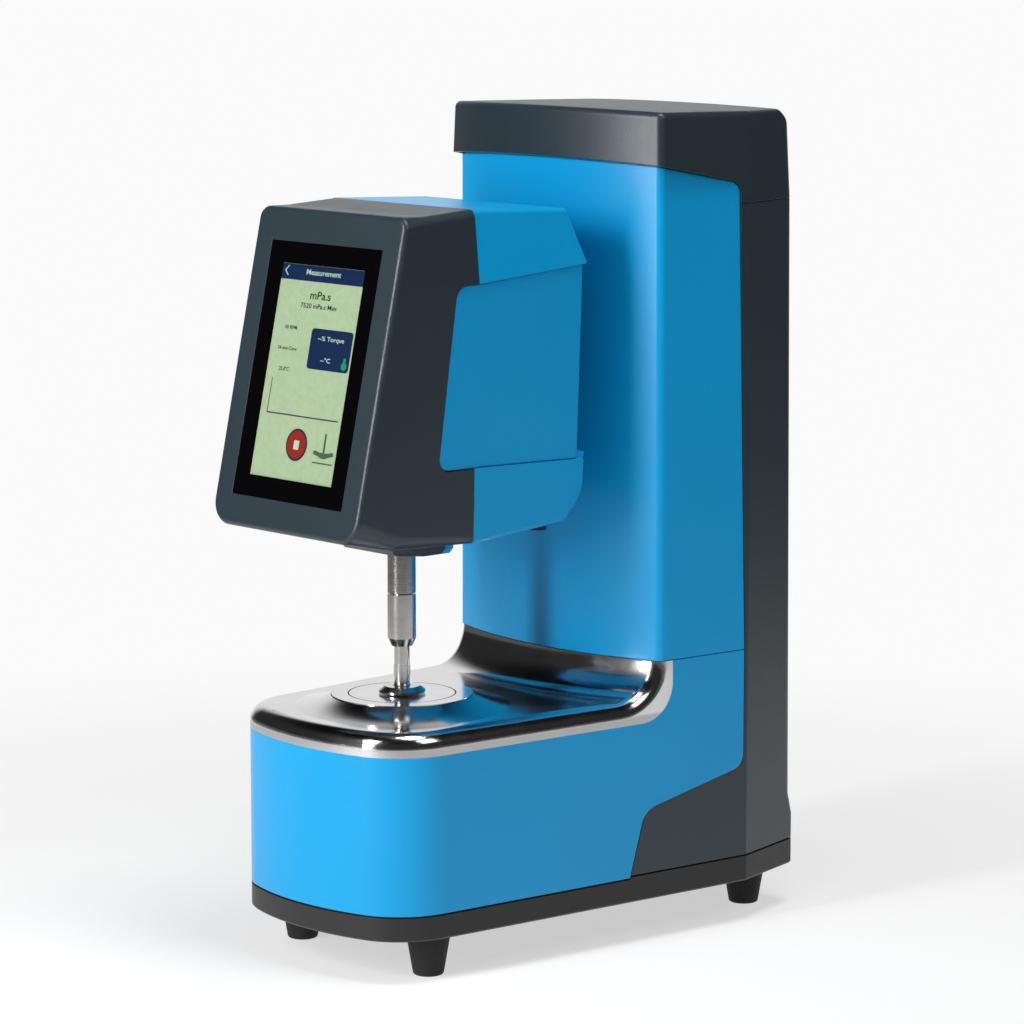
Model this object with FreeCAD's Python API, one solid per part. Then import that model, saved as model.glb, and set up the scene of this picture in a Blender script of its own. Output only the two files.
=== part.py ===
"""Cone-plate viscometer: a bench instrument with a lifting head over a polished deck.

Millimetres, +X right, +Y to the back, +Z up. Everything is first built about the spindle axis,
with the soles of the feet at zero height, and then moved so that the origin is at the middle of
the footprint.
"""
import FreeCAD, Part
import math
import os

V = FreeCAD.Vector
UP = V(0, 0, 1)
TINY = 0.01

# Overall reaches from the spindle axis
FRONT_REACH = 79.1
REAR_REACH = 218.5
CENTRE_Y = (REAR_REACH - FRONT_REACH) / 2

# Plan of the base: a bowed front, sides that flare to the back, then a taper to the rear face
SIDE_X = 70.0
SIDE_FLARE = 0.072
BASE_FRONT_Y = -69.3
BASE_BOW_R = 143.7
BASE_CORNER_R = 36.0
TAPER_Y = 169.5
TAPER_DEG = 15.0
COVER_REAR_Y = 216.7
REAR_LEAN_DEG = 0.77
REAR_CORNER_R = 9.0
SKIRT_CORNER_R = 4.0

# Heights of the base
FOOT_H = 22.0
PLATE_FRONT_TOP_Z = 35.2
PLATE_REAR_RISE = 1.3
PLATE_STEP_Y = 90.4
PLATE_FLOOR = 3.0
PLATE_WALL = 3.0
PLATE_CHAMFER = 1.0
PLATE_REBATE_W = 1.4
PLATE_REBATE_H = 0.9
HOUSING_TOP_Z = 116.0
DECK_Z = 128.0
SHOULDER_Z = 147.0

# Sheet and wall thicknesses, and the gaps that show as seams
WALL = 2.5
DECK_SHEET = 2.0
SEAM = 0.4
FIT = 0.05
LOOSE = 0.3

# Feet
FOOT_X = 50.2
FOOT_FRONT_Y = -26.1
FOOT_REAR_Y = 200.0
FOOT_SOLE_R = 8.0
FOOT_TOP_R = 11.5
FOOT_ROUND = 1.5
FOOT_BORE_R = 2.7
FOOT_BORE_HEAD_R = 4.2
FOOT_BORE_DEPTH = 9.0
SCREW_R = 2.0
SCREW_HEAD_R = 3.7
SCREW_HEAD_H = 3.0
BOSS_R = 6.0
BOSS_H = 7.0

# Deck cover
DECK_EDGE_R = 8.0
COVE_R = 20.0
SWEEP_DEG = 70.0
SWEEP_INNER = 0.6
FLARE_FOOT_R = 56.0
FLARE_TOP_R = 37.0
FLARE_TOP_Z = 133.6
FLARE_SAG = 0.8
STRIP_R = 20.0
STRIP_BACK_Y = 118.0

# Measuring plate group
PLATE_TOP_Z = 134.2
PLATE_THICK = 3.2
RING_R = 36.4
RING_BORE_R = 28.0
DISC_R = 27.3
GROOVE_DEPTH = 0.8
CARRIER_BORE_R = 26.3
CARRIER_FLANGE_R = 51.0
CARRIER_FLANGE_H = 3.0
HOUSING_HOLE_R = 46.0
HEATER_R = 26.0
HEATER_H = 24.0
PELTIER_SIDE = 40.0
PELTIER_H = 4.0
SINK_SIDE = 82.0
SINK_BASE_H = 6.0
SINK_FIN_H = 26.0
SINK_FINS = 11
SINK_FIN_T = 2.2
PROBE_R = 1.6
PROBE_DROP = 16.0
PROBE_REACH = 42.0

# Tower
TOWER_FRONT_Y = 95.0
TOWER_BOW_R = 218.0
TOWER_CORNER_R = 4.2
TOWER_DRAFT = 1.0
BACK_EDGE_Y = 167.3
BACK_EDGE_TOP_Y = 162.5
BACK_LOW_Z = 91.0
BACK_TOP_Z = 382.0
SKIRT_TOP_Z = 49.5
SKIRT_RUN = 11.5
TOWER_COVER_TOP_Z = 414.0
NECK_INSET = 1.4
SLOT_HALF = 21.0
SLOT_MARGIN = 5.0

# Top cap
CAP_OVERHANG_FRONT = 5.4
CAP_HALF = 80.35
CAP_FLARE = 0.011
CAP_DRAFT_DEG = 2.2
CAP_TOP_Z = 431.3
CAP_TOP_SLOPE = 0.0204
CAP_CROWN = 1.1
CAP_HALF_CROWN_X = 72.0
CAP_EDGE_R = 3.4
CAP_CREASE_R = 3.0
CAP_REAR_R = 20.0
CAP_LOW_FRONT_Y = 107.0
CAP_LOW_FRONT_Z = 403.5
CAP_LOW_SLOPE = 0.194
CAP_LOW_BREAK_Y = 156.0

# Head, sloped face first
FACE_LOW_Z = 225.0
FACE_TILT_DEG = 12.26
FACE_LENGTH = 162.9
HEAD_HALF = 57.3
FACE_LOW_CORNER_R = 13.0
FACE_TOP_CORNER_R = 7.0
FACE_EDGE_R = 2.6
HEAD_SEAM_Y = 1.2
HEAD_TOP_RISE = 1.6
HEAD_LOW_Z = FACE_LOW_Z - 7.4
BELLY_Y = -50.0
BELLY_RISE = 1.4
BROW_Y = -30.0
BROW_DROP = 1.9
HEAD_CORNER_R = 4.0
PANEL_INSET = 1.1
PANEL_REAR_Y = 72.0
TONGUE_TOP_DROP = 36.8
TONGUE_LOW_Z = 256.2
TONGUE_TOP_Y = -12.2
TONGUE_LOW_Y = -23.0
TONGUE_R = 8.0
WRAP_TOP_REAR_Y = 63.2
WRAP_TOP_DROP = 2.4
WRAP_BEAK_Y = 75.0
WRAP_BEAK_DROP = 29.6
WRAP_LOW_REAR_Y = 76.0
WRAP_LOW_TOP_Z = 254.4
WRAP_CURL_Z = 243.4
WRAP_TAIL_Z = 227.8
WRAP_TAIL_RUN = 9.6
WRAP_SOLE_Y = 63.4
WRAP_SOLE_Z = 222.6
LIP_REACH = 4.5
LIP_RISE = 2.8
LIP_HALF = 53.0

# Chin under the head, round the spindle
CHIN_HALF = 33.0
CHIN_FRONT_Y = -24.0
CHIN_BACK_Y = 6.4
CHIN_Z = 209.8
CHIN_SLOPE = 6.0
CHIN_BORE_R = 9.0

# Display
GLASS_W = 86.0
GLASS_H = 130.0
GLASS_T = 2.0
GLASS_MID = -0.4
LCD_W = 64.8
LCD_H = 108.0
LCD_T = 5.0
LCD_RECESS = 0.9
BOARD_T = 1.6
DISPLAY_BOARD_MARGIN = 6.0

# Spindle group
CONE_GAP = 0.3
CONE_R = 12.0
CONE_DEG = 2.0
CONE_RIM = 1.0
CONE_TOP_R = 9.2
CONE_CHAMFER_H = 2.2
CONE_SHAFT_R = 3.96
CONE_COLLAR_R = 4.7
CONE_COLLAR_Z = 143.2
CONE_COLLAR_H = 5.6
COUPLING_NOSE_Z = 159.0
COUPLING_NOSE_R = 5.5
COUPLING_CHAMFER_H = 4.0
COUPLING_R = 7.36
COUPLING_TOP_Z = 186.0
COUPLING_CORE_R = 5.7
SLEEVE_GAP = 0.5
SLEEVE_H = 27.0
SPRING_WIRE = 0.9
COIL_STEPS = 10
SPRING_TURNS = 3.5
SPRING_H = 8.2
SPRING_STOP_R = 7.3
SPRING_STOP_H = 2.5
DRIVE_R = 4.0
DRIVE_TOP_Z = 292.0

# Inside the head
BEARING_OUT_R = 11.0
BEARING_H = 7.0
BEARING_LOW_Z = 236.0
BEARING_HIGH_Z = 254.0
BEARING_HOUSING_R = 16.0
BEARING_HOUSING_LOW_Z = 230.0
SHELF_Z = 262.0
SHELF_T = 6.0
SHELF_HALF = 40.0
SHELF_FRONT_Y = -24.0
RIB_H = 34.0
SPINE_Y = 58.0
SPINE_T = 6.0
SPINE_HALF = 46.0
SPINE_LOW_Z = 232.0
SPINE_TOP_DROP = 15.8
MOTOR_SIDE = 42.3
MOTOR_H = 48.0
MOTOR_PILOT_R = 11.0
KNOB_X = 30.0
KNOB_Y = 67.0
KNOB_R = 4.6
KNOB_H = 7.0

# Lift group in the tower
LIFT = 60.0
ROD_X = 30.0
ROD_Y = 138.0
ROD_R = 5.0
LEAD_SCREW_R = 4.0
BLOCK_HALF = 43.0
BLOCK_DEPTH = 24.0
BLOCK_H = 12.0
LOW_BLOCK_Z = 152.0
HIGH_BLOCK_Z = 396.0
FRAME_HALF = 46.0
FRAME_T = 6.0
FRAME_FOOT = 36.0
FRAME_TOP_Z = 410.0
CARRIAGE_Z = 247.0
CARRIAGE_H = 78.0
CARRIAGE_HALF = 44.0
CARRIAGE_FACE_Y = 116.0
CARRIAGE_PLATE = 8.0
BUSH_BLOCK = 22.0
BUSH_R = 8.0
NUT_R = 9.0
NUT_FLANGE_R = 11.0
NUT_H = 26.0
NUT_FLANGE_H = 4.0
ARM_HALF = 18.0
ARM_Z = 258.0
ARM_H = 36.0
ARM_WALL = 6.0
SHIELD_HALF = 26.0
SHIELD_T = 1.5
SHIELD_LOW_Z = 188.0
SHIELD_TOP_Z = 362.0
SHIELD_Y = 100.4
LIFT_MOTOR_SIDE = 56.0
LIFT_MOTOR_H = 56.0
LIFT_COUPLING_R = 9.0
LIFT_COUPLING_H = 22.0

# Electronics and the rear panel
SUPPLY_W = 60.0
SUPPLY_D = 40.0
SUPPLY_H = 100.0
SUPPLY_Z = 120.0
BOARD_W = 90.0
BOARD_H = 130.0
BOARD_Z = 240.0
STANDOFF = 6.0
PANEL_Z = 92.0
INLET_X = -30.0
INLET_W = 28.0
INLET_H = 20.5
INLET_DEPTH = 18.0
INLET_RIM = 3.0
SWITCH_X = 0.0
SWITCH_W = 14.0
SWITCH_H = 21.0
SWITCH_DEPTH = 14.0
SWITCH_RIM = 2.0
ROCKER_TILT_DEG = 8.0
ROCKER_PIVOT_DEPTH = 4.0
PORT_X = 34.0
PORT_W = 31.0
PORT_H = 12.5
PORT_DEPTH = 10.0
VENT_COUNT = 8
VENT_PITCH = 7.0
VENT_W = 60.0
VENT_H = 3.0
VENT_Z = 300.0
COVER_SCREW_X = 52.0
COVER_SCREW_ZS = (70.0, 220.0, 360.0)
COVER_SCREW_HEAD_R = 3.4
COVER_SCREW_LEN = 9.0


# Worked out from the sizes above
TILT = math.radians(FACE_TILT_DEG)
FACE_UP = V(0, math.sin(TILT), math.cos(TILT))
FACE_OUT = V(0, -math.cos(TILT), math.sin(TILT))
FACE_LOW = V(0, -FRONT_REACH, FACE_LOW_Z)
FACE_MID = FACE_LOW + FACE_UP * (FACE_LENGTH / 2 + GLASS_MID)
HEAD_TOP_Z = (FACE_LOW + FACE_UP * FACE_LENGTH).z + HEAD_TOP_RISE
BELLY_Z = HEAD_LOW_Z + BELLY_RISE
BROW_Z = HEAD_TOP_Z - BROW_DROP
TONGUE_TOP_Z = HEAD_TOP_Z - TONGUE_TOP_DROP
WRAP_TOP_REAR_Z = HEAD_TOP_Z - WRAP_TOP_DROP
WRAP_BEAK_Z = HEAD_TOP_Z - WRAP_BEAK_DROP
SPINE_TOP_Z = HEAD_TOP_Z - SPINE_TOP_DROP
SPAN = 2 * CAP_TOP_Z


def face_of(start, steps, place):
    """Closed outline: each step is a point for a line, or a pair (through, end) for an arc."""
    edges = []
    here = start
    for step in steps:
        if isinstance(step[0], tuple):
            through, end = step
            edges.append(Part.Arc(place(*here), place(*through), place(*end)).toShape())
        else:
            end = step
            edges.append(Part.LineSegment(place(*here), place(*end)).toShape())
        here = end
    return Part.Face(Part.Wire(edges))


def slab(points, half, low=None):
    """Side outline in Y and Z, extruded across X from -half (or low) to +half."""
    low = -half if low is None else low
    face = face_of(points[0], list(points[1:]) + [points[0]], lambda y, z: V(low, y, z))
    return face.extrude(V(half - low, 0, 0))


def turned(points, x=0.0, y=0.0):
    """Profile in radius and height, turned once round a vertical axis."""
    face = face_of(points[0], list(points[1:]) + [points[0]], lambda r, z: V(x + r, y, z))
    return face.revolve(V(x, y, 0), UP, 360)


def box(x0, x1, y0, y1, z0, z1):
    """Box between two corners."""
    return Part.makeBox(x1 - x0, y1 - y0, z1 - z0, V(x0, y0, z0))


def rod(radius, low, high, x=0.0, y=0.0):
    """Upright round bar."""
    return Part.makeCylinder(radius, high - low, V(x, y, low), UP)


def tube(outer, bore, low, high, x=0.0, y=0.0):
    """Upright round bar with a bore."""
    return rod(outer, low, high, x, y).cut(rod(bore, low - 1, high + 1, x, y))


def cross_rod(radius, x, z, y0, y1):
    """Round bar along Y."""
    return Part.makeCylinder(radius, y1 - y0, V(x, y0, z), V(0, 1, 0))


def side_x(y, out=0.0, half=SIDE_X, flare=SIDE_FLARE):
    """Half width of the body at a depth, on the flared sides."""
    return half + out + flare * y


def upright_edges(solid, spots):
    """Vertical edges that stand at one of the given plan points."""
    found = []
    for edge in solid.Edges:
        a, b = edge.Vertexes[0].Point, edge.Vertexes[-1].Point
        if abs(a.x - b.x) > TINY or abs(a.y - b.y) > TINY:
            continue
        if any(abs(a.x - x) < 0.2 and abs(a.y - y) < 0.2 for x, y in spots):
            found.append(edge)
    return found


def plan(front_y, bow_r, front_r, rear_y, rear_r, out=0.0, half=SIDE_X, flare=SIDE_FLARE):
    """Plan of a casing as a flat face at zero height: bowed front, flared sides, tapered rear."""
    centre = front_y + bow_r
    a = 1 + flare ** 2
    b = 2 * flare * (half + out) - 2 * centre
    c = (half + out) ** 2 + centre ** 2 - bow_r ** 2
    corner_y = (-b - math.sqrt(b * b - 4 * a * c)) / (2 * a)
    corner = (side_x(corner_y, out, half, flare), corner_y)
    bend = (side_x(TAPER_Y, out, half, flare), TAPER_Y)
    rear_x = bend[0] - math.tan(math.radians(TAPER_DEG)) * (rear_y - TAPER_Y)
    rear = (rear_x, rear_y)
    left = [(-x, y) for x, y in (corner, bend, rear)]
    steps = [((0.0, front_y), corner), bend, rear, left[2], left[1], left[0]]
    block = face_of(left[0], steps, lambda x, y: V(x, y, 0)).extrude(UP)
    block = block.makeFillet(front_r, upright_edges(block, [corner, left[0]]))
    block = block.makeFillet(rear_r, upright_edges(block, [rear, left[2]]))
    for face in block.Faces:
        if face.normalAt(0, 0).z < -0.99:
            return face
    raise ValueError("the plan has no flat underside")


def raised(face, low, high):
    """Flat plan face lifted to a height and extruded up."""
    lifted = face.copy()
    lifted.translate(V(0, 0, low - face.BoundBox.ZMin))
    solid = lifted.extrude(V(0, 0, high - low))
    return solid


def shrunk(face, by):
    """Plan face with every side moved in, or out where by is less than nothing."""
    return Part.Face(face.makeOffset2D(-by).Wires[0]) if by else face


def tapered(low_face, low, high_face, high):
    """Solid between two plan faces at two heights."""
    wires = []
    for face, z in ((low_face, low), (high_face, high)):
        wire = face.OuterWire.copy()
        wire.translate(V(0, 0, z - wire.BoundBox.ZMin))
        wires.append(wire)
    return Part.makeLoft(wires, True, True)


def rear_y(z):
    """Depth of the back cover's rear face, which leans forward going up."""
    return COVER_REAR_Y - (z - PANEL_Z) * math.tan(math.radians(REAR_LEAN_DEG))


def back_plan(z):
    """Plan of the back cover at a height."""
    return plan(BASE_FRONT_Y, BASE_BOW_R, BASE_CORNER_R, rear_y(z), REAR_CORNER_R)


def back_form(low, high, inset):
    """Form of the back cover between two heights, or of its hollow when inset is the wall."""
    return tapered(shrunk(back_plan(low), inset), low, shrunk(back_plan(high), inset), high)


BASE_PLAN = plan(BASE_FRONT_Y, BASE_BOW_R, BASE_CORNER_R, REAR_REACH, SKIRT_CORNER_R)
TOWER_PLAN = plan(TOWER_FRONT_Y, TOWER_BOW_R, TOWER_CORNER_R, COVER_REAR_Y, REAR_CORNER_R)
TOWER_TOP_PLAN = plan(TOWER_FRONT_Y, TOWER_BOW_R, TOWER_CORNER_R, COVER_REAR_Y, REAR_CORNER_R, -TOWER_DRAFT)
PLATE_REAR_TOP_Z = PLATE_FRONT_TOP_Z + PLATE_REAR_RISE
FLOOR_Z = FOOT_H + PLATE_FLOOR
FEET = {
    "foot_front_left": (-FOOT_X, FOOT_FRONT_Y),
    "foot_front_right": (FOOT_X, FOOT_FRONT_Y),
    "foot_rear_left": (-FOOT_X, FOOT_REAR_Y),
    "foot_rear_right": (FOOT_X, FOOT_REAR_Y),
}


def back_edge(shift):
    """Forward edge of the back cover in Y and Z, top to bottom, moved back by shift."""
    return [
        (BACK_EDGE_Y + shift, BACK_LOW_Z),
        ((BACK_EDGE_Y - 1.9 + shift, BACK_LOW_Z - 4.8), (BACK_EDGE_Y - 6.3 + shift, BACK_LOW_Z - 7.5)),
        (107.0 + shift, 71.3),
        ((101.6 + shift, 68.4), (98.2 + shift, 63.6)),
        (PLATE_STEP_Y + shift, PLATE_REAR_TOP_Z),
    ]


def foot(x, y):
    """Tapered rubber foot with a counterbore for its screw."""
    profile = [(FOOT_BORE_R, FOOT_BORE_DEPTH), (FOOT_BORE_HEAD_R, FOOT_BORE_DEPTH),
               (FOOT_BORE_HEAD_R, 0), (FOOT_SOLE_R - FOOT_ROUND, 0),
               ((FOOT_SOLE_R - 0.3 * FOOT_ROUND, 0.3 * FOOT_ROUND), (FOOT_SOLE_R, FOOT_ROUND)),
               (FOOT_TOP_R, FOOT_H), (FOOT_BORE_R, FOOT_H)]
    return turned(profile, x, y)


def foot_screws():
    """One screw up through each foot into its boss."""
    screws = []
    for x, y in FEET.values():
        head = rod(SCREW_HEAD_R, FOOT_BORE_DEPTH - SCREW_HEAD_H, FOOT_BORE_DEPTH, x, y)
        shank = rod(SCREW_R, FOOT_BORE_DEPTH, FLOOR_Z + BOSS_H - 1, x, y)
        screws.append(head.fuse(shank).removeSplitter())
    return Part.makeCompound(screws)


def base_plate():
    """Black tray that carries everything, with a boss over each foot."""
    solid = raised(BASE_PLAN, FOOT_H, PLATE_FRONT_TOP_Z)
    rear = raised(BASE_PLAN, PLATE_FRONT_TOP_Z, PLATE_REAR_TOP_Z)
    solid = solid.fuse(rear.common(box(-SPAN, SPAN, PLATE_STEP_Y, SPAN, 0, SPAN))).removeSplitter()
    low = [e for e in solid.Edges if e.BoundBox.ZMax < FOOT_H + TINY]
    solid = solid.makeChamfer(PLATE_CHAMFER, low)
    rim = BASE_PLAN.cut(shrunk(BASE_PLAN, PLATE_REBATE_W))
    front_rebate = raised(rim, PLATE_FRONT_TOP_Z - PLATE_REBATE_H, PLATE_FRONT_TOP_Z + 1)
    rear_rebate = raised(rim, PLATE_REAR_TOP_Z - PLATE_REBATE_H, PLATE_REAR_TOP_Z + 1)
    solid = solid.cut(front_rebate.common(box(-SPAN, SPAN, -SPAN, PLATE_STEP_Y, 0, SPAN)))
    solid = solid.cut(rear_rebate.common(box(-SPAN, SPAN, PLATE_STEP_Y, SPAN, 0, SPAN)))
    solid = solid.cut(raised(shrunk(BASE_PLAN, PLATE_WALL), FLOOR_Z, PLATE_REAR_TOP_Z + 1))
    for x, y in FEET.values():
        solid = solid.fuse(rod(BOSS_R, FLOOR_Z - 1, FLOOR_Z + BOSS_H, x, y))
        solid = solid.cut(rod(SCREW_R + FIT, FOOT_H - 1, FLOOR_Z + BOSS_H + 1, x, y))
    return solid


def strip_edge(shift):
    """Curved lower edge of the deck cover in Y and Z, from the flank up to the shoulder."""
    start_y = STRIP_BACK_Y - STRIP_R
    drop = STRIP_R * (1 - math.sqrt(0.5))
    return [(start_y, HOUSING_TOP_Z + shift),
            ((STRIP_BACK_Y - drop - shift, HOUSING_TOP_Z + drop + shift),
             (STRIP_BACK_Y - shift, HOUSING_TOP_Z + STRIP_R)),
            (STRIP_BACK_Y - shift, SHOULDER_Z + 1)]


def base_housing():
    """Blue casing round the base, rising at the back on both sides to the tower's shoulder."""
    walls = raised(BASE_PLAN, PLATE_FRONT_TOP_Z, SHOULDER_Z)
    walls = walls.cut(raised(shrunk(BASE_PLAN, WALL), 0, SHOULDER_Z + 1))
    roof = raised(shrunk(BASE_PLAN, WALL / 2), HOUSING_TOP_Z - WALL, HOUSING_TOP_Z)
    roof = roof.common(box(-SPAN, SPAN, -SPAN, STRIP_BACK_Y - STRIP_R, 0, SPAN))
    roof = roof.cut(rod(HOUSING_HOLE_R, 0, SPAN))
    outline = [(-SPAN, PLATE_FRONT_TOP_Z), (-SPAN, HOUSING_TOP_Z)] + strip_edge(0)[:-1]
    outline += [(STRIP_BACK_Y, SHOULDER_Z), (BACK_EDGE_Y - SEAM, SHOULDER_Z)] + back_edge(-SEAM)
    outline += [(PLATE_STEP_Y - SEAM, PLATE_FRONT_TOP_Z)]
    return walls.fuse(roof).common(slab(outline, SPAN)).removeSplitter()


def cove_profile(drop, top):
    """Section of the hollow sweep up to the tower, in radius from the bow centre and height."""
    mid_z = DECK_Z + COVE_R
    reach = math.sqrt(COVE_R ** 2 - (mid_z - SHOULDER_Z) ** 2)
    mid_r = TOWER_BOW_R + reach
    radius = COVE_R + drop

    def on_arc(z):
        return (mid_r - math.sqrt(radius ** 2 - (mid_z - z) ** 2), z)

    low = DECK_Z - drop
    through = on_arc((low + top) / 2)
    deep = low - DECK_EDGE_R
    inner = SWEEP_INNER * TOWER_BOW_R
    return [(inner, deep), (inner, top), on_arc(top), (through, (mid_r, low)), (mid_r, deep)]


def deck_form(drop, top, edge_r):
    """Form of the deck, or of its hollow when drop is the sheet thickness."""
    face = BASE_PLAN if drop == 0 else shrunk(BASE_PLAN, drop)
    low = HOUSING_TOP_Z if drop == 0 else HOUSING_TOP_Z - 30
    centre_y = TOWER_FRONT_Y + TOWER_BOW_R
    sweep = cove_profile(drop, top)
    section = face_of(sweep[0], sweep[1:] + [sweep[0]], lambda r, z: V(0, centre_y - r, z))
    left, right = [section.revolve(V(0, centre_y, 0), UP, turn) for turn in (-SWEEP_DEG, SWEEP_DEG)]
    ring = left.fuse(right).removeSplitter().common(raised(face, low, top))
    form = raised(face, low, DECK_Z - drop).fuse(ring).removeSplitter()
    rim = []
    wire = face.OuterWire
    for edge in form.Edges:
        mid = edge.valueAt((edge.FirstParameter + edge.LastParameter) / 2)
        at_rim = wire.distToShape(Part.Vertex(V(mid.x, mid.y, face.BoundBox.ZMin)))[0] < 0.05
        on_top = edge.BoundBox.ZMin > DECK_Z - drop - 0.1 and mid.z < top - 0.5
        if at_rim and on_top:
            rim.append(edge)
    form = form.makeFillet(edge_r, rim)
    sag_r = (FLARE_FOOT_R + FLARE_TOP_R) / 2
    sag_z = (DECK_Z + FLARE_TOP_Z) / 2 - FLARE_SAG
    flare = turned([(0, DECK_Z - drop - 1), (0, FLARE_TOP_Z - drop), (FLARE_TOP_R, FLARE_TOP_Z - drop),
                    ((sag_r, sag_z - drop), (FLARE_FOOT_R, DECK_Z - drop)),
                    (FLARE_FOOT_R, DECK_Z - drop - 1)])
    return form.fuse(flare)


def deck_cover():
    """Polished sheet-metal cover: flat deck, rounded rim, low cone and the sweep to the tower."""
    form = deck_form(0, SHOULDER_Z + 3, DECK_EDGE_R)
    hollow = deck_form(DECK_SHEET, SHOULDER_Z + 5, DECK_EDGE_R - DECK_SHEET)
    outline = [(-SPAN, HOUSING_TOP_Z)] + strip_edge(0)[:-1]
    outline += [(STRIP_BACK_Y, SHOULDER_Z), (-SPAN, SHOULDER_Z)]
    form = form.common(slab(outline, SPAN)).cut(hollow)
    return form.cut(rod(RING_R + LOOSE, 0, SPAN))


def plate_group():
    """Measuring plate, its ring and seal, and the heated block under them."""
    seat = PLATE_TOP_Z - PLATE_THICK
    low = seat - HEATER_H
    ring = tube(RING_R, RING_BORE_R, seat, PLATE_TOP_Z)
    disc = rod(DISC_R, seat, PLATE_TOP_Z)
    seal = tube(RING_BORE_R - FIT, DISC_R + FIT, seat, PLATE_TOP_Z - GROOVE_DEPTH)
    carrier = turned([(CARRIER_BORE_R, seat), (RING_R, seat),
                      (RING_R, HOUSING_TOP_Z + CARRIER_FLANGE_H),
                      (CARRIER_FLANGE_R, HOUSING_TOP_Z + CARRIER_FLANGE_H),
                      (CARRIER_FLANGE_R, HOUSING_TOP_Z), (CARRIER_BORE_R, HOUSING_TOP_Z)])
    probe_z = seat - PROBE_DROP - PROBE_R * 2
    hole = Part.makeCylinder(PROBE_R + FIT, HEATER_R, V(HEATER_R / 2, 0, probe_z), V(1, 0, 0))
    heater = rod(HEATER_R, low, seat).cut(hole)
    probe_x = HEATER_R / 2 + 1
    probe = Part.makeCylinder(PROBE_R, PROBE_REACH - probe_x, V(probe_x, 0, probe_z), V(1, 0, 0))
    half = PELTIER_SIDE / 2
    peltier = box(-half, half, -half, half, low - PELTIER_H, low)
    sink_top = low - PELTIER_H
    half = SINK_SIDE / 2
    sink = box(-half, half, -half, half, sink_top - SINK_BASE_H, sink_top)
    pitch = (SINK_SIDE - SINK_FIN_T) / (SINK_FINS - 1)
    for i in range(SINK_FINS):
        x = -half + i * pitch
        top = sink_top - SINK_BASE_H
        sink = sink.fuse(box(x, x + SINK_FIN_T, -half, half, top - SINK_FIN_H, top))
    return {"plate_ring": ring, "measuring_plate": disc, "plate_seal": seal, "plate_carrier": carrier,
            "heater_block": heater, "temperature_probe": probe, "peltier_module": peltier,
            "heat_sink": sink.removeSplitter()}


def above_cap_edge(drop):
    """Side outline of all that lies above the cap's lower edge, lowered by drop."""
    y = CAP_LOW_BREAK_Y
    z = CAP_LOW_FRONT_Z - CAP_LOW_SLOPE * (y - CAP_LOW_FRONT_Y) - drop
    edge_y = BACK_EDGE_TOP_Y - SEAM / 2
    return [(0.0, CAP_LOW_FRONT_Z + CAP_LOW_SLOPE * CAP_LOW_FRONT_Y - drop), (y, z),
            ((y + 0.75 * (edge_y - y), z - 2.5), (edge_y, z - 8.0)), (edge_y, BACK_TOP_Z + SEAM),
            (SPAN, BACK_TOP_Z + SEAM), (SPAN, SPAN), (0.0, SPAN)]


def tower_front_cover():
    """Blue bowed cover of the tower, necked where the cap sits over it, with a slot for the head's arm."""
    low, high = SHOULDER_Z + SEAM, TOWER_COVER_TOP_Z
    walls = tapered(TOWER_PLAN, low, TOWER_TOP_PLAN, high)
    walls = walls.cut(tapered(shrunk(TOWER_PLAN, WALL), low - 1, shrunk(TOWER_TOP_PLAN, WALL), high + 1))
    top_y = BACK_EDGE_TOP_Y - SEAM
    walls = walls.common(slab([(0.0, 0.0), (BACK_EDGE_Y - SEAM, 0.0), (BACK_EDGE_Y - SEAM, SHOULDER_Z),
                               (top_y, BACK_TOP_Z), (top_y, SPAN), (0.0, SPAN)], SPAN))
    neck = raised(shrunk(TOWER_TOP_PLAN, NECK_INSET), SHOULDER_Z, SPAN)
    walls = walls.cut(slab(above_cap_edge(SEAM), SPAN).cut(neck))
    slot_top = ARM_Z + ARM_H + LIFT + SLOT_MARGIN
    return walls.cut(box(-SLOT_HALF, SLOT_HALF, 0, CARRIAGE_FACE_Y, ARM_Z - SLOT_MARGIN, slot_top))


def rear_ports():
    """Openings in the back cover for what it carries, with flat seats on its leaning face."""
    y0, y1 = COVER_REAR_Y - 2 * WALL, COVER_REAR_Y + WALL
    holes = []
    for x, w, h, rim in ((INLET_X, INLET_W, INLET_H, INLET_RIM), (SWITCH_X, SWITCH_W, SWITCH_H, SWITCH_RIM),
                         (PORT_X, PORT_W, PORT_H, 0.0)):
        half_w, half_h = w / 2 + FIT, h / 2 + FIT
        holes.append(box(x - half_w, x + half_w, y0, y1, PANEL_Z - half_h, PANEL_Z + half_h))
        half_w, half_h = half_w + rim, half_h + rim
        holes.append(box(x - half_w, x + half_w, COVER_REAR_Y, y1, PANEL_Z - half_h, PANEL_Z + half_h))
    for i in range(VENT_COUNT):
        z = VENT_Z + i * VENT_PITCH
        holes.append(box(-VENT_W / 2, VENT_W / 2, rear_y(z) - 2 * WALL, y1, z, z + VENT_H))
    for x, y, z in cover_screw_spots():
        holes.append(cross_rod(SCREW_R + FIT, x, z, y - 2 * WALL, y1))
        holes.append(cross_rod(COVER_SCREW_HEAD_R + FIT, x, z, y, y1))
    return Part.makeCompound(holes)


def cover_screw_spots():
    """Seats of the screws that hold the back cover."""
    return [(side * COVER_SCREW_X, rear_y(z + COVER_SCREW_HEAD_R) - FIT, z)
            for side in (-1, 1) for z in COVER_SCREW_ZS]


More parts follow.
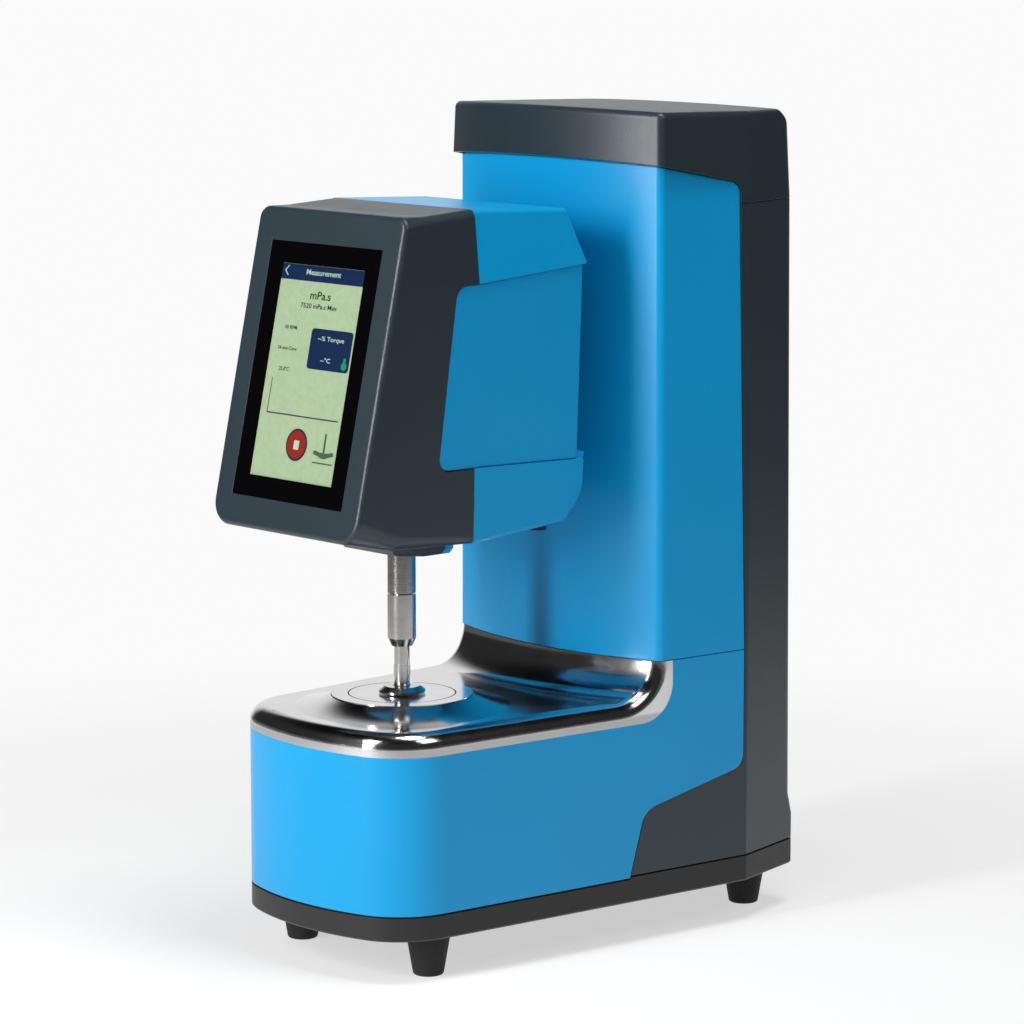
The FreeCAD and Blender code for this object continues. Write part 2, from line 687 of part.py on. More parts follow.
def tower_back_cover():
    """Grey back cover, reaching forward low on both flanks, with a skirt at its foot."""
    low, foot_top = PLATE_REAR_TOP_Z, SKIRT_TOP_Z + SKIRT_RUN
    solid = back_form(low, BACK_TOP_Z, 0)
    skirt = raised(BASE_PLAN, low, SKIRT_TOP_Z)
    slope = tapered(BASE_PLAN, SKIRT_TOP_Z, back_plan(foot_top), foot_top)
    solid = solid.fuse(skirt).fuse(slope).cut(back_form(low - 1, BACK_TOP_Z + 1, WALL))
    outline = [(BACK_EDGE_TOP_Y, BACK_TOP_Z), (BACK_EDGE_Y, SHOULDER_Z)] + back_edge(0)
    outline += [(SPAN, low), (SPAN, BACK_TOP_Z)]
    return solid.common(slab(outline, SPAN)).cut(rear_ports())


def cap_top(y):
    """Height of the cap's top at a depth, along its two long edges."""
    return CAP_TOP_Z - CAP_TOP_SLOPE * (y - TOWER_FRONT_Y)


def sharp_edges(solid, low):
    """Edges above a height where two faces meet at a clear angle."""
    found = []
    for edge in solid.Edges:
        mid = edge.valueAt((edge.FirstParameter + edge.LastParameter) / 2)
        faces = solid.ancestorsOfType(edge, Part.Face)
        if mid.z < low or len(faces) != 2:
            continue
        normals = [face.normalAt(*face.Surface.parameter(mid)) for face in faces]
        if normals[0].dot(normals[1]) < 0.9:
            found.append(edge)
    return found


def crown(inset):
    """Long bar, leaning back, whose arched top gives the cap its gentle crown."""
    half = CAP_HALF_CROWN_X + CAP_OVERHANG_FRONT + 2 * CAP_EDGE_R
    sag = CAP_CROWN * (half / CAP_HALF_CROWN_X) ** 2
    start, reach = 0.0, REAR_REACH + 1
    top = cap_top(start) - inset
    low = top + CAP_CROWN - sag
    steps = [(-half, low), ((0.0, top + CAP_CROWN), (half, low)), (half, 0.0), (-half, 0.0)]
    face = face_of((-half, 0.0), steps, lambda x, z: V(x, start, z))
    return face.extrude(V(0, reach, -CAP_TOP_SLOPE * reach))


def cap_form(inset):
    """Form of the cap, or of its hollow when inset is the wall."""
    low, high = BACK_TOP_Z - CAP_REAR_R, CAP_TOP_Z + CAP_CROWN + 2
    rear = rear_y(BACK_TOP_Z)
    faces = []
    for z in (low, high):
        out = (BACK_TOP_Z - z) * math.tan(math.radians(CAP_DRAFT_DEG))
        face = plan(TOWER_FRONT_Y - CAP_OVERHANG_FRONT - out, TOWER_BOW_R, TOWER_CORNER_R,
                    rear + out, REAR_CORNER_R, out, CAP_HALF, CAP_FLARE)
        faces.append(shrunk(face, inset))
    form = tapered(faces[0], low, faces[1], high).common(crown(inset))
    if not inset:
        form = form.makeFillet(CAP_EDGE_R, sharp_edges(form, cap_top(rear) - 1))
    radius = CAP_REAR_R
    rear -= inset
    bend = radius * (1 - math.sqrt(0.5))
    top = cap_top(rear - radius) + CAP_CROWN - inset
    outline = [(0.0, SHOULDER_Z), (0.0, SPAN), (rear - 2 * radius, SPAN), (rear - 2 * radius, top + 1),
               (rear - radius - 2, top + 0.1),
               ((rear - bend, top - bend), (rear, top - radius)), (rear, SHOULDER_Z)]
    form = form.common(slab(outline, SPAN))
    if inset:
        return form
    return form.makeFillet(CAP_CREASE_R, sharp_edges(form, top - radius - CAP_CREASE_R))


def top_cap():
    """Grey moulded cap that overhangs the tower, cut away below on a slope."""
    socket = raised(shrunk(TOWER_TOP_PLAN, NECK_INSET - LOOSE), SHOULDER_Z, TOWER_COVER_TOP_Z + LOOSE)
    socket = socket.common(box(-SPAN, SPAN, 0, BACK_EDGE_TOP_Y, 0, SPAN))
    return cap_form(0).common(slab(above_cap_edge(0.0), SPAN)).cut(cap_form(WALL)).cut(socket)


def rounded_section(half, low, high, low_r, high_r):
    """Rounded rectangle between two points in the YZ plane, as a wire standing across X."""
    along = high - low
    length = along.Length
    along = along * (1 / length)
    k = 1 - math.sqrt(0.5)

    def place(x, v):
        return low + along * v + V(x, 0, 0)

    top = length - high_r
    steps = [(half - low_r, 0.0),
             ((half - k * low_r, k * low_r), (half, low_r)), (half, top),
             ((half - k * high_r, length - k * high_r), (half - high_r, length)),
             (-half + high_r, length),
             ((-half + k * high_r, length - k * high_r), (-half, top)), (-half, low_r),
             ((-half + k * low_r, k * low_r), (-half + low_r, 0.0))]
    return face_of((-half + low_r, 0.0), steps, place).OuterWire


def bezel_form(inset):
    """Form of the head's front housing, or of its hollow when inset is the wall."""
    half = HEAD_HALF - inset
    up = V(0, 0, inset)
    slope_in = FACE_OUT * -inset
    front_low = FACE_LOW + slope_in + FACE_UP * inset
    front_top = FACE_LOW + FACE_UP * (FACE_LENGTH - inset) + slope_in
    back_y = HEAD_SEAM_Y + (1 if inset else 0)
    sections = [
        rounded_section(half, front_low, front_top, FACE_LOW_CORNER_R - inset, FACE_TOP_CORNER_R - inset),
        rounded_section(half, V(0, BELLY_Y, BELLY_Z) + up, V(0, BROW_Y, BROW_Z) - up,
                        2 * HEAD_CORNER_R - inset, 1.2 * HEAD_CORNER_R - inset),
        rounded_section(half, V(0, back_y, HEAD_LOW_Z) + up, V(0, back_y, HEAD_TOP_Z) - up,
                        HEAD_CORNER_R - inset, HEAD_CORNER_R - inset)]
    return Part.makeLoft(sections, True, True)


def on_face(x0, x1, v0, v1, depth, proud=0.0):
    """Box on the sloped face, about the middle of the glass, sunk by depth."""
    corner = FACE_MID + FACE_UP * v0 + V(x0, 0, 0) + FACE_OUT * proud
    edges = [corner, corner + V(x1 - x0, 0, 0), corner + V(x1 - x0, 0, 0) + FACE_UP * (v1 - v0),
             corner + FACE_UP * (v1 - v0), corner]
    return Part.Face(Part.makePolygon(edges)).extrude(FACE_OUT * -(depth + proud))


def tongue_outline(grow):
    """Side outline of the blue panel where it runs forward into the front housing."""
    top, low = TONGUE_TOP_Z + grow, TONGUE_LOW_Z - grow
    top_y, low_y = TONGUE_TOP_Y - grow, TONGUE_LOW_Y - grow
    r = TONGUE_R
    return [(HEAD_SEAM_Y + 1, top), (top_y + r, top - 0.4),
            ((top_y + 0.22 * r, top - 0.3 * r), (top_y - 0.12 * r, top - r)),
            (low_y + 0.1 * r, low + r), ((low_y + 0.35 * r, low + 0.25 * r), (low_y + r, low + 0.2)),
            (HEAD_SEAM_Y + 1, low)]


def chin(y0, y1, low, grow=0.0):
    """Shallow block under the head round the spindle, between two depths."""
    half = CHIN_HALF + grow
    front = CHIN_FRONT_Y - grow
    nose = [(-half, CHIN_BACK_Y), (-half, front + CHIN_SLOPE * 2), (-half + CHIN_SLOPE * 2, front),
            (half - CHIN_SLOPE * 2, front), (half, front + CHIN_SLOPE * 2), (half, CHIN_BACK_Y)]
    face = face_of(nose[0], nose[1:] + [nose[0]], lambda x, y: V(x, y, low))
    block = face.extrude(V(0, 0, HEAD_LOW_Z + WALL - low))
    edges = [e for e in block.Edges if e.BoundBox.ZMax < low + TINY and e.BoundBox.YMin < CHIN_BACK_Y - 1]
    block = block.makeChamfer(CHIN_SLOPE / 2, edges)
    return block.common(box(-SPAN, SPAN, y0, y1, 0, SPAN))


def head_bezel():
    """Slate front housing of the head: sloped face, pocket for the glass, cut-outs at the flanks."""
    form = bezel_form(0)
    rim = []
    for edge in form.Edges:
        points = [v.Point for v in edge.Vertexes]
        if all(abs((p - FACE_LOW).dot(FACE_OUT)) < TINY for p in points):
            rim.append(edge)
    form = form.makeFillet(FACE_EDGE_R, rim)
    form = form.fuse(chin(-SPAN, HEAD_SEAM_Y - SEAM, CHIN_Z))
    form = form.cut(bezel_form(WALL))
    half_w, half_h = GLASS_W / 2 + FIT, GLASS_H / 2 + FIT
    form = form.cut(on_face(-half_w, half_w, -half_h, half_h, GLASS_T, 2))
    half_w, half_h = LCD_W / 2 + 2, LCD_H / 2 + 2
    form = form.cut(on_face(-half_w, half_w, -half_h, half_h, 3 * WALL, 2))
    form = form.cut(slab(tongue_outline(SEAM), SPAN))
    form = form.cut(box(-SPAN, SPAN, HEAD_SEAM_Y - SEAM / 2, SPAN, 0, SPAN))
    return form.cut(rod(CHIN_BORE_R, 0, BEARING_HOUSING_LOW_Z))


def head_body():
    """Blue middle shell of the head: flank panels that run forward, and flanges for the wraps."""
    outer = HEAD_HALF - PANEL_INSET
    seat = HEAD_HALF - WALL - FIT
    y0, y1 = HEAD_SEAM_Y, PANEL_REAR_Y
    drop = (TONGUE_LOW_Z - WRAP_LOW_TOP_Z) * (y1 - y0) / (WRAP_LOW_REAR_Y - y0)
    rise = (WRAP_BEAK_Z - TONGUE_TOP_Z) * (y1 - y0) / (WRAP_BEAK_Y - y0)
    low, high = TONGUE_LOW_Z + SEAM, TONGUE_TOP_Z - SEAM
    shell = slab([(y0, low), (y1, low - drop), (y1, high + rise - 2 * SEAM), (y0, high)], outer)
    tongue = tongue_outline(-FIT)
    tongue[0] = (y0 + 2, tongue[0][1])
    tongue[-1] = (y0 + 2, tongue[-1][1])
    shell = shell.fuse(slab(tongue, outer))
    shell = shell.cut(box(WALL - outer, outer - WALL, -SPAN, y1 - WALL, 0, SPAN))
    flange_low, flange_top = WRAP_SOLE_Z + WALL + LOOSE, WRAP_TOP_REAR_Z - WALL - LOOSE
    for side in (-1, 1):
        x0, x1 = sorted((side * (seat - WALL), side * seat))
        shell = shell.fuse(box(x0, x1, y0, y1 - 12, flange_low, flange_top))
    hole = box(-ARM_HALF - LOOSE, ARM_HALF + LOOSE, y1 - 20, y1 + 1, ARM_Z - LOOSE, ARM_Z + ARM_H + LOOSE)
    return shell.cut(hole).removeSplitter()


def upper_wrap():
    """Blue saddle over the top of the head, with a sloping back."""
    outline = [(HEAD_SEAM_Y, TONGUE_TOP_Z), (HEAD_SEAM_Y, HEAD_TOP_Z), (WRAP_TOP_REAR_Y, WRAP_TOP_REAR_Z),
               (WRAP_BEAK_Y, WRAP_BEAK_Z), (WRAP_BEAK_Y - 1.8, WRAP_BEAK_Z - 1.4)]
    form = slab(outline, HEAD_HALF)
    top = [e for e in form.Edges if abs(abs(e.BoundBox.XMin) - HEAD_HALF) < TINY
           and e.BoundBox.XMax - e.BoundBox.XMin < TINY and e.BoundBox.ZMax > WRAP_TOP_REAR_Z - TINY
           and e.BoundBox.YMax > HEAD_SEAM_Y + 1]
    form = form.makeFillet(2.2, top)
    w = WALL
    void = [(-SPAN, BEARING_LOW_Z), (-SPAN, HEAD_TOP_Z - w), (HEAD_SEAM_Y, HEAD_TOP_Z - w),
            (WRAP_TOP_REAR_Y - 0.8 * w, WRAP_TOP_REAR_Z - w), (WRAP_BEAK_Y - 1.15 * w, WRAP_BEAK_Z - 1.4),
            (WRAP_BEAK_Y - 1.15 * w, BEARING_LOW_Z)]
    return form.cut(slab(void, HEAD_HALF - w))


def lower_wrap():
    """Blue saddle under the head, curling up at the back, with the rear part of the chin."""
    tail = (WRAP_LOW_REAR_Y - WRAP_TAIL_RUN, WRAP_TAIL_Z)
    tail_bend = (WRAP_LOW_REAR_Y - 0.4 * WRAP_TAIL_RUN, WRAP_TAIL_Z + 0.37 * (WRAP_CURL_Z - WRAP_TAIL_Z))
    outline = [(HEAD_SEAM_Y, TONGUE_LOW_Z), (WRAP_LOW_REAR_Y, WRAP_LOW_TOP_Z),
               (WRAP_LOW_REAR_Y - 0.6, WRAP_CURL_Z),
               (tail_bend, tail),
               (WRAP_SOLE_Y, WRAP_SOLE_Z), (HEAD_SEAM_Y, HEAD_LOW_Z)]
    form = slab(outline, HEAD_HALF)
    sole = [e for e in form.Edges if abs(abs(e.BoundBox.XMin) - HEAD_HALF) < TINY
            and e.BoundBox.XMax - e.BoundBox.XMin < TINY and e.BoundBox.ZMax < WRAP_SOLE_Z + TINY
            and e.BoundBox.YMax - e.BoundBox.YMin > WRAP_SOLE_Y / 3]
    form = form.makeFillet(2.2, sole)
    w = WALL
    void = [(-SPAN, SPAN), (WRAP_LOW_REAR_Y - 1.1 * w, SPAN), (WRAP_LOW_REAR_Y - 1.1 * w, WRAP_CURL_Z),
            ((tail_bend[0] - 0.8 * w, tail_bend[1] + 0.6 * w), (tail[0] - 0.5 * w, tail[1] + w)),
            (WRAP_SOLE_Y - 0.2 * w, WRAP_SOLE_Z + w), (HEAD_SEAM_Y, HEAD_LOW_Z + w),
            (-SPAN, HEAD_LOW_Z + w)]
    hollow = slab(void, HEAD_HALF - w)
    rear, lip_top = WRAP_LOW_REAR_Y, WRAP_LOW_TOP_Z + LIP_RISE
    lip = slab([(rear - 3 * w, WRAP_LOW_TOP_Z - 2), (rear - 2, lip_top), (rear + LIP_REACH, lip_top),
                (rear - 1.2, WRAP_CURL_Z - 1)], LIP_HALF)
    lip = lip.cut(hollow).cut(box(-SPAN, SPAN, 0, PANEL_REAR_Y + FIT, 0, SPAN))
    form = form.cut(hollow).fuse(lip)
    form = form.fuse(chin(HEAD_SEAM_Y, CHIN_BACK_Y, CHIN_Z))
    return form.cut(rod(CHIN_BORE_R, 0, BEARING_HOUSING_LOW_Z))


def display_group():
    """Cover glass with its window, the display in it, and the board behind."""
    half_w, half_h = GLASS_W / 2, GLASS_H / 2
    lcd_w, lcd_h = LCD_W / 2, LCD_H / 2
    glass = on_face(-half_w, half_w, -half_h, half_h, GLASS_T)
    glass = glass.cut(on_face(-lcd_w - FIT, lcd_w + FIT, -lcd_h - FIT, lcd_h + FIT, 2 * GLASS_T, 1))
    lcd = on_face(-lcd_w, lcd_w, -lcd_h, lcd_h, LCD_T, -LCD_RECESS)
    m = DISPLAY_BOARD_MARGIN
    board = on_face(-lcd_w - m, lcd_w + m, -lcd_h - m, lcd_h + m, LCD_T + BOARD_T, -LCD_T)
    return {"display_glass": glass, "display_panel": lcd, "display_board": board}


def head_frame():
    """Aluminium spine and shelf that carry the drive and join the head to its arm."""
    spine = box(-SPINE_HALF, SPINE_HALF, SPINE_Y, SPINE_Y + SPINE_T, SPINE_LOW_Z, SPINE_TOP_Z)
    shelf = box(-SHELF_HALF, SHELF_HALF, SHELF_FRONT_Y, SPINE_Y, SHELF_Z, SHELF_Z + SHELF_T)
    frame = spine.fuse(shelf)
    for side in (-1, 1):
        x = side * (SHELF_HALF - 2)
        top = SHELF_Z + SHELF_T
        rib = slab([(SPINE_Y, top), (SPINE_Y, top + RIB_H), (SPINE_Y - RIB_H, top)], x + 2, x - 2)
        frame = frame.fuse(rib)
    frame = frame.removeSplitter()
    frame = frame.cut(rod(MOTOR_PILOT_R + FIT, SHELF_Z - 1, SHELF_Z + SHELF_T + 1))
    return frame


def drive_group():
    """Motor, bearing housing and bearings on the spindle axis."""
    top = SHELF_Z
    low = BEARING_HOUSING_LOW_Z
    seat_r, step_r, body_r = BEARING_OUT_R, BEARING_OUT_R - 2, BEARING_HOUSING_R
    housing = turned([(seat_r, top - 1), (seat_r, BEARING_HIGH_Z), (step_r, BEARING_HIGH_Z),
                      (step_r, BEARING_LOW_Z + BEARING_H), (seat_r, BEARING_LOW_Z + BEARING_H),
                      (seat_r, BEARING_LOW_Z), (step_r, BEARING_LOW_Z), (step_r, low), (body_r, low),
                      (body_r, top - 5), (body_r + 8, top - 5), (body_r + 8, top), (seat_r, top)])
    lower = tube(BEARING_OUT_R - FIT / 2, DRIVE_R + FIT, BEARING_LOW_Z, BEARING_LOW_Z + BEARING_H)
    upper = tube(BEARING_OUT_R - FIT / 2, DRIVE_R + FIT, BEARING_HIGH_Z, BEARING_HIGH_Z + BEARING_H)
    half = MOTOR_SIDE / 2
    low = SHELF_Z + SHELF_T
    motor = box(-half, half, -half, half, low, low + MOTOR_H)
    spots = [(x, y) for x in (-half, half) for y in (-half, half)]
    motor = motor.makeChamfer(4, upright_edges(motor, spots))
    motor = motor.fuse(rod(MOTOR_PILOT_R, SHELF_Z + 1, low + 1))
    motor = motor.cut(rod(DRIVE_R + LOOSE, SHELF_Z, DRIVE_TOP_Z + 1))
    return {"bearing_housing": housing, "lower_bearing": lower, "upper_bearing": upper,
            "spindle_motor": motor}


def cone_spindle():
    """Measuring cone with its chamfered back, collar and shank."""
    tip = PLATE_TOP_Z + CONE_GAP
    rim = tip + CONE_R * math.tan(math.radians(CONE_DEG))
    back = rim + CONE_RIM
    flat = back + CONE_CHAMFER_H
    shank_top = COUPLING_NOSE_Z + 16
    return turned([(0, tip), (CONE_R, rim), (CONE_R, back), (CONE_TOP_R, flat), (CONE_SHAFT_R + 1.4, flat),
                   ((CONE_SHAFT_R + 0.4, flat + 0.4), (CONE_SHAFT_R, flat + 1.4)),
                   (CONE_SHAFT_R, CONE_COLLAR_Z), (CONE_COLLAR_R - 0.4, CONE_COLLAR_Z),
                   (CONE_COLLAR_R - 0.4, CONE_COLLAR_Z + CONE_COLLAR_H),
                   (CONE_SHAFT_R, CONE_COLLAR_Z + CONE_COLLAR_H), (CONE_SHAFT_R, shank_top),
                   (0, shank_top)])


def coil(inner, wire, turns, low, high):
    """Spring of square wire: a sleeve with a helical gap, cut by stacked half rings that step up."""
    pitch = (high - low - wire) / turns
    steps = COIL_STEPS
    spring = None
    for i in range(int(turns * steps) + 1):
        z = low + i * pitch / steps
        start = 360.0 * i / steps
        ring = Part.makeCylinder(inner + wire, wire, V(0, 0, z), UP, 360.0 / steps + 1)
        ring = ring.cut(Part.makeCylinder(inner, 3 * wire, V(0, 0, z - wire), UP))
        ring.rotate(V(0, 0, 0), UP, start)
        spring = ring if spring is None else spring.fuse(ring)
    return spring


def spindle_group():
    """Coupling, its sprung sleeve, the spring and the drive shaft."""
    bore = CONE_SHAFT_R + FIT
    sleeve_low = COUPLING_TOP_Z + SLEEVE_GAP
    spring_low = sleeve_low + SLEEVE_H + LOOSE
    stop_low = spring_low + SPRING_H
    stop_top = stop_low + SPRING_STOP_H
    coupling = turned([(bore, COUPLING_NOSE_Z), (COUPLING_NOSE_R, COUPLING_NOSE_Z),
                       (COUPLING_R, COUPLING_NOSE_Z + COUPLING_CHAMFER_H), (COUPLING_R, COUPLING_TOP_Z),
                       (COUPLING_CORE_R, COUPLING_TOP_Z), (COUPLING_CORE_R, stop_low),
                       (SPRING_STOP_R, stop_low), (SPRING_STOP_R, stop_top), (bore, stop_top)])
    shaft = rod(DRIVE_R, COUPLING_NOSE_Z + 22, DRIVE_TOP_Z)
    sleeve = tube(COUPLING_R, COUPLING_CORE_R + FIT, sleeve_low, sleeve_low + SLEEVE_H)
    spring = coil(COUPLING_CORE_R + LOOSE, SPRING_WIRE, SPRING_TURNS, spring_low, stop_low)
    return {"coupling_body": coupling, "drive_shaft": shaft, "coupling_sleeve": sleeve,
            "sleeve_spring": spring}


def lift_group():
    """Rods, blocks, screw and motor of the lift, on the tower's frame."""
    back = ROD_Y + BLOCK_DEPTH / 2
    front = ROD_Y - BLOCK_DEPTH / 2
    parts = {}
    frame = box(-FRAME_HALF, FRAME_HALF, back, back + FRAME_T, FLOOR_Z, FRAME_TOP_Z)
    frame = frame.fuse(box(-FRAME_HALF, FRAME_HALF, back, back + FRAME_FOOT, FLOOR_Z, FLOOR_Z + FRAME_T))
    for side in (-1, 1):
        x = side * (FRAME_HALF - FRAME_T / 2)
        rib_y = back + FRAME_T * 2
        rib = slab([(back, FLOOR_Z), (back + FRAME_FOOT, FLOOR_Z), (rib_y, FLOOR_Z + 150),
                    (rib_y, FRAME_TOP_Z), (back, FRAME_TOP_Z)], x + FRAME_T / 2, x - FRAME_T / 2)
        frame = frame.fuse(rib)
    parts["tower_frame"] = frame.removeSplitter()
    for name, low in (("lower_rod_block", LOW_BLOCK_Z), ("upper_rod_block", HIGH_BLOCK_Z)):
        block = box(-BLOCK_HALF, BLOCK_HALF, front, back, low, low + BLOCK_H)
        for side in (-1, 1):
            block = block.cut(rod(ROD_R + FIT, low - 1, low + BLOCK_H + 1, side * ROD_X, ROD_Y))
        parts[name] = block.cut(rod(LEAD_SCREW_R + FIT, low - 1, low + BLOCK_H + 1, 0, ROD_Y))
    for side, name in ((-1, "guide_rod_left"), (1, "guide_rod_right")):
        parts[name] = rod(ROD_R, LOW_BLOCK_Z, HIGH_BLOCK_Z + BLOCK_H, side * ROD_X, ROD_Y)
    motor_top = LOW_BLOCK_Z - LIFT_COUPLING_H - 4
    parts["lead_screw"] = rod(LEAD_SCREW_R, motor_top + 12, HIGH_BLOCK_Z + BLOCK_H - 2, 0, ROD_Y)
    parts["screw_coupling"] = tube(LIFT_COUPLING_R, LEAD_SCREW_R + FIT / 2, motor_top + 2,
                                   motor_top + 2 + LIFT_COUPLING_H, 0, ROD_Y)
    half = LIFT_MOTOR_SIDE / 2
    motor = box(-half, half, ROD_Y - half, ROD_Y + half, motor_top - LIFT_MOTOR_H, motor_top)
    motor = motor.cut(box(-SPAN, SPAN, back - LOOSE, SPAN, 0, SPAN))
    motor = motor.fuse(rod(LEAD_SCREW_R - 1, motor_top - 1, motor_top + 10, 0, ROD_Y))
    parts["lift_motor"] = motor
    bracket_low = motor_top - LIFT_MOTOR_H - FRAME_T
    parts["lift_motor_bracket"] = box(-half, half, ROD_Y - half, back, bracket_low, bracket_low + FRAME_T)
    return parts


def carriage_group():
    """Carriage on the rods, its bushes and nut, the arm to the head and the slot shield."""
    z0, z1 = CARRIAGE_Z, CARRIAGE_Z + CARRIAGE_H
    face = CARRIAGE_FACE_Y
    half = BUSH_BLOCK / 2
    carriage = box(-CARRIAGE_HALF, CARRIAGE_HALF, face, face + CARRIAGE_PLATE, z0, z1)
    for x in (-ROD_X, 0.0, ROD_X):
        low, high = (z0, z1) if x else (z0 + 20, z0 + 20 + NUT_H)
        block = box(x - half, x + half, face + CARRIAGE_PLATE - 1, ROD_Y + half, low, high)
        carriage = carriage.fuse(block)
    for x in (-ROD_X, ROD_X):
        carriage = carriage.cut(rod(BUSH_R, z0 - 1, z1 + 1, x, ROD_Y))
    carriage = carriage.cut(rod(NUT_R, z0 - 1, z1 + 1, 0, ROD_Y)).removeSplitter()
    bushes = []
    for x in (-ROD_X, ROD_X):
        for low in (z0, z1 - 24):
            bushes.append(tube(BUSH_R - FIT / 2, ROD_R + FIT, low, low + 24, x, ROD_Y))
    nut_low = z0 + 20
    nut = tube(NUT_R - FIT / 2, LEAD_SCREW_R + FIT, nut_low, nut_low + NUT_H, 0, ROD_Y)
    flange = tube(NUT_FLANGE_R, LEAD_SCREW_R + FIT, nut_low - NUT_FLANGE_H, nut_low, 0, ROD_Y)
    arm = box(-ARM_HALF, ARM_HALF, SPINE_Y + SPINE_T, face, ARM_Z, ARM_Z + ARM_H)
    half = ARM_HALF - ARM_WALL
    hollow = box(-half, half, 0, face + 1, ARM_Z + ARM_WALL, ARM_Z + ARM_H - ARM_WALL)
    shield = box(-SHIELD_HALF, SHIELD_HALF, SHIELD_Y, SHIELD_Y + SHIELD_T, SHIELD_LOW_Z, SHIELD_TOP_Z)
    shield = shield.cut(box(-ARM_HALF, ARM_HALF, 0, SPAN, ARM_Z, ARM_Z + ARM_H))
    return {"carriage": carriage, "rod_bushes": Part.makeCompound(bushes), "lift_nut": nut.fuse(flange),
            "head_arm": arm.cut(hollow), "slot_shield": shield}


def framed(x, w, h, depth, rim, rim_t, wall, floor):
    """Panel insert: a body through the cover, a rim on it and a well with a floor."""
    y, half_w, half_h = COVER_REAR_Y, w / 2, h / 2
    form = box(x - half_w, x + half_w, y - depth, y, PANEL_Z - half_h, PANEL_Z + half_h)
    form = form.fuse(box(x - half_w - rim, x + half_w + rim, y, y + rim_t,
                         PANEL_Z - half_h - rim, PANEL_Z + half_h + rim))
    half_w, half_h = half_w - wall, half_h - wall
    well = box(x - half_w, x + half_w, y - depth + floor, y + rim_t + 1, PANEL_Z - half_h, PANEL_Z + half_h)
    return form.cut(well).removeSplitter()


def rear_group():
    """Inlet, switch, data port, screws, supply and main board."""
    y = COVER_REAR_Y
    parts = {}
    inlet = framed(INLET_X, INLET_W, INLET_H, INLET_DEPTH, INLET_RIM, 2.0, 2.5, 3.0)
    for x in (-7.0, 0.0, 7.0):
        z = PANEL_Z + (2.0 if x == 0 else -2.0)
        inlet = inlet.fuse(box(INLET_X + x - 1, INLET_X + x + 1, y - INLET_DEPTH + 2, y - 3, z - 2, z + 2))
    parts["power_inlet"] = inlet
    parts["switch_frame"] = framed(SWITCH_X, SWITCH_W, SWITCH_H, SWITCH_DEPTH, SWITCH_RIM, 1.6, 1.5, 2.0)
    parts["switch_rocker"] = switch_rocker()
    half_w, half_h = PORT_W / 2, PORT_H / 2
    port = box(PORT_X - half_w, PORT_X + half_w, y - PORT_DEPTH, y + 1, PANEL_Z - half_h, PANEL_Z + half_h)
    shell = box(PORT_X - 9.5, PORT_X + 9.5, y, y + 3.5, PANEL_Z - 4.5, PANEL_Z + 4.5)
    mouth = box(PORT_X - 8.5, PORT_X + 8.5, y - 4, y + 4, PANEL_Z - 3.5, PANEL_Z + 3.5)
    parts["data_port"] = port.fuse(shell).cut(mouth)
    screws = []
    for x, seat, z in cover_screw_spots():
        head = cross_rod(COVER_SCREW_HEAD_R, x, z, seat, seat + 1.5)
        screws.append(head.fuse(cross_rod(SCREW_R, x, z, seat - COVER_SCREW_LEN, seat)))
    parts["cover_screws"] = Part.makeCompound(screws)
    back = ROD_Y + BLOCK_DEPTH / 2 + FRAME_T
    half = FRAME_HALF - FRAME_T - LOOSE
    supply_top = SUPPLY_Z + SUPPLY_H
    parts["power_supply"] = box(-SUPPLY_W / 2, SUPPLY_W / 2, back, back + SUPPLY_D, SUPPLY_Z, supply_top)
    board_y = back + FRAME_T + STANDOFF
    board = box(-BOARD_W / 2, BOARD_W / 2, board_y, board_y + BOARD_T, BOARD_Z, BOARD_Z + BOARD_H)
    for x in (-half + 6, half - 6):
        for z in (BOARD_Z + 8, BOARD_Z + BOARD_H - 8):
            board = board.fuse(cross_rod(3, x, z, back, board_y))
    parts["main_board"] = board
    return parts


def switch_rocker():
    """Rocker key, tilted one way on its cross pin."""
    pivot_y = COVER_REAR_Y - ROCKER_PIVOT_DEPTH
    half = SWITCH_W / 2 - 1.5 - LOOSE
    span = SWITCH_H / 2 - 1.5 - 2 * LOOSE
    outline = [(pivot_y - 2, span - 2.5), (COVER_REAR_Y + 1.6, span - 0.4),
               ((COVER_REAR_Y + 0.7, 0.0), (COVER_REAR_Y + 1.6, 0.4 - span)), (pivot_y - 2, 2.5 - span),
               (pivot_y - 5, 0.0)]
    key = slab(outline, SWITCH_X + half, SWITCH_X - half)
    key.rotate(V(0, pivot_y, 0), V(1, 0, 0), ROCKER_TILT_DEG)
    key.translate(V(0, 0, PANEL_Z))
    return key


def build():
    """All sub-parts by name, about the spindle axis."""
    parts = {name: foot(x, y) for name, (x, y) in FEET.items()}
    parts["foot_screws"] = foot_screws()
    parts["base_plate"] = base_plate()
    parts["base_housing"] = base_housing()
    parts["deck_cover"] = deck_cover()
    parts.update(plate_group())
    parts["tower_front_cover"] = tower_front_cover()
    parts["tower_back_cover"] = tower_back_cover()
    parts["top_cap"] = top_cap()
    parts["head_bezel"] = head_bezel()
    parts["head_body"] = head_body()
    parts["upper_wrap"] = upper_wrap()
    parts["lower_wrap"] = lower_wrap()
    parts.update(display_group())
    parts["head_frame"] = head_frame()
    parts.update(drive_group())
    parts["cone_spindle"] = cone_spindle()
    parts.update(spindle_group())
    parts.update(lift_group())
    parts.update(carriage_group())
    parts.update(rear_group())
    parts["head_knob"] = rod(KNOB_R, WRAP_SOLE_Z - KNOB_H, WRAP_SOLE_Z, KNOB_X, KNOB_Y)
    return parts


os.makedirs("parts", exist_ok=True)
for node, shape in build().items():
    moved = shape.copy()
    moved.translate(V(0, -CENTRE_Y, 0))
    moved.exportStep("parts/" + node + ".step")
    print(node, "solids", len(moved.Solids), "valid", moved.isValid(), "volume", round(moved.Volume, 1))
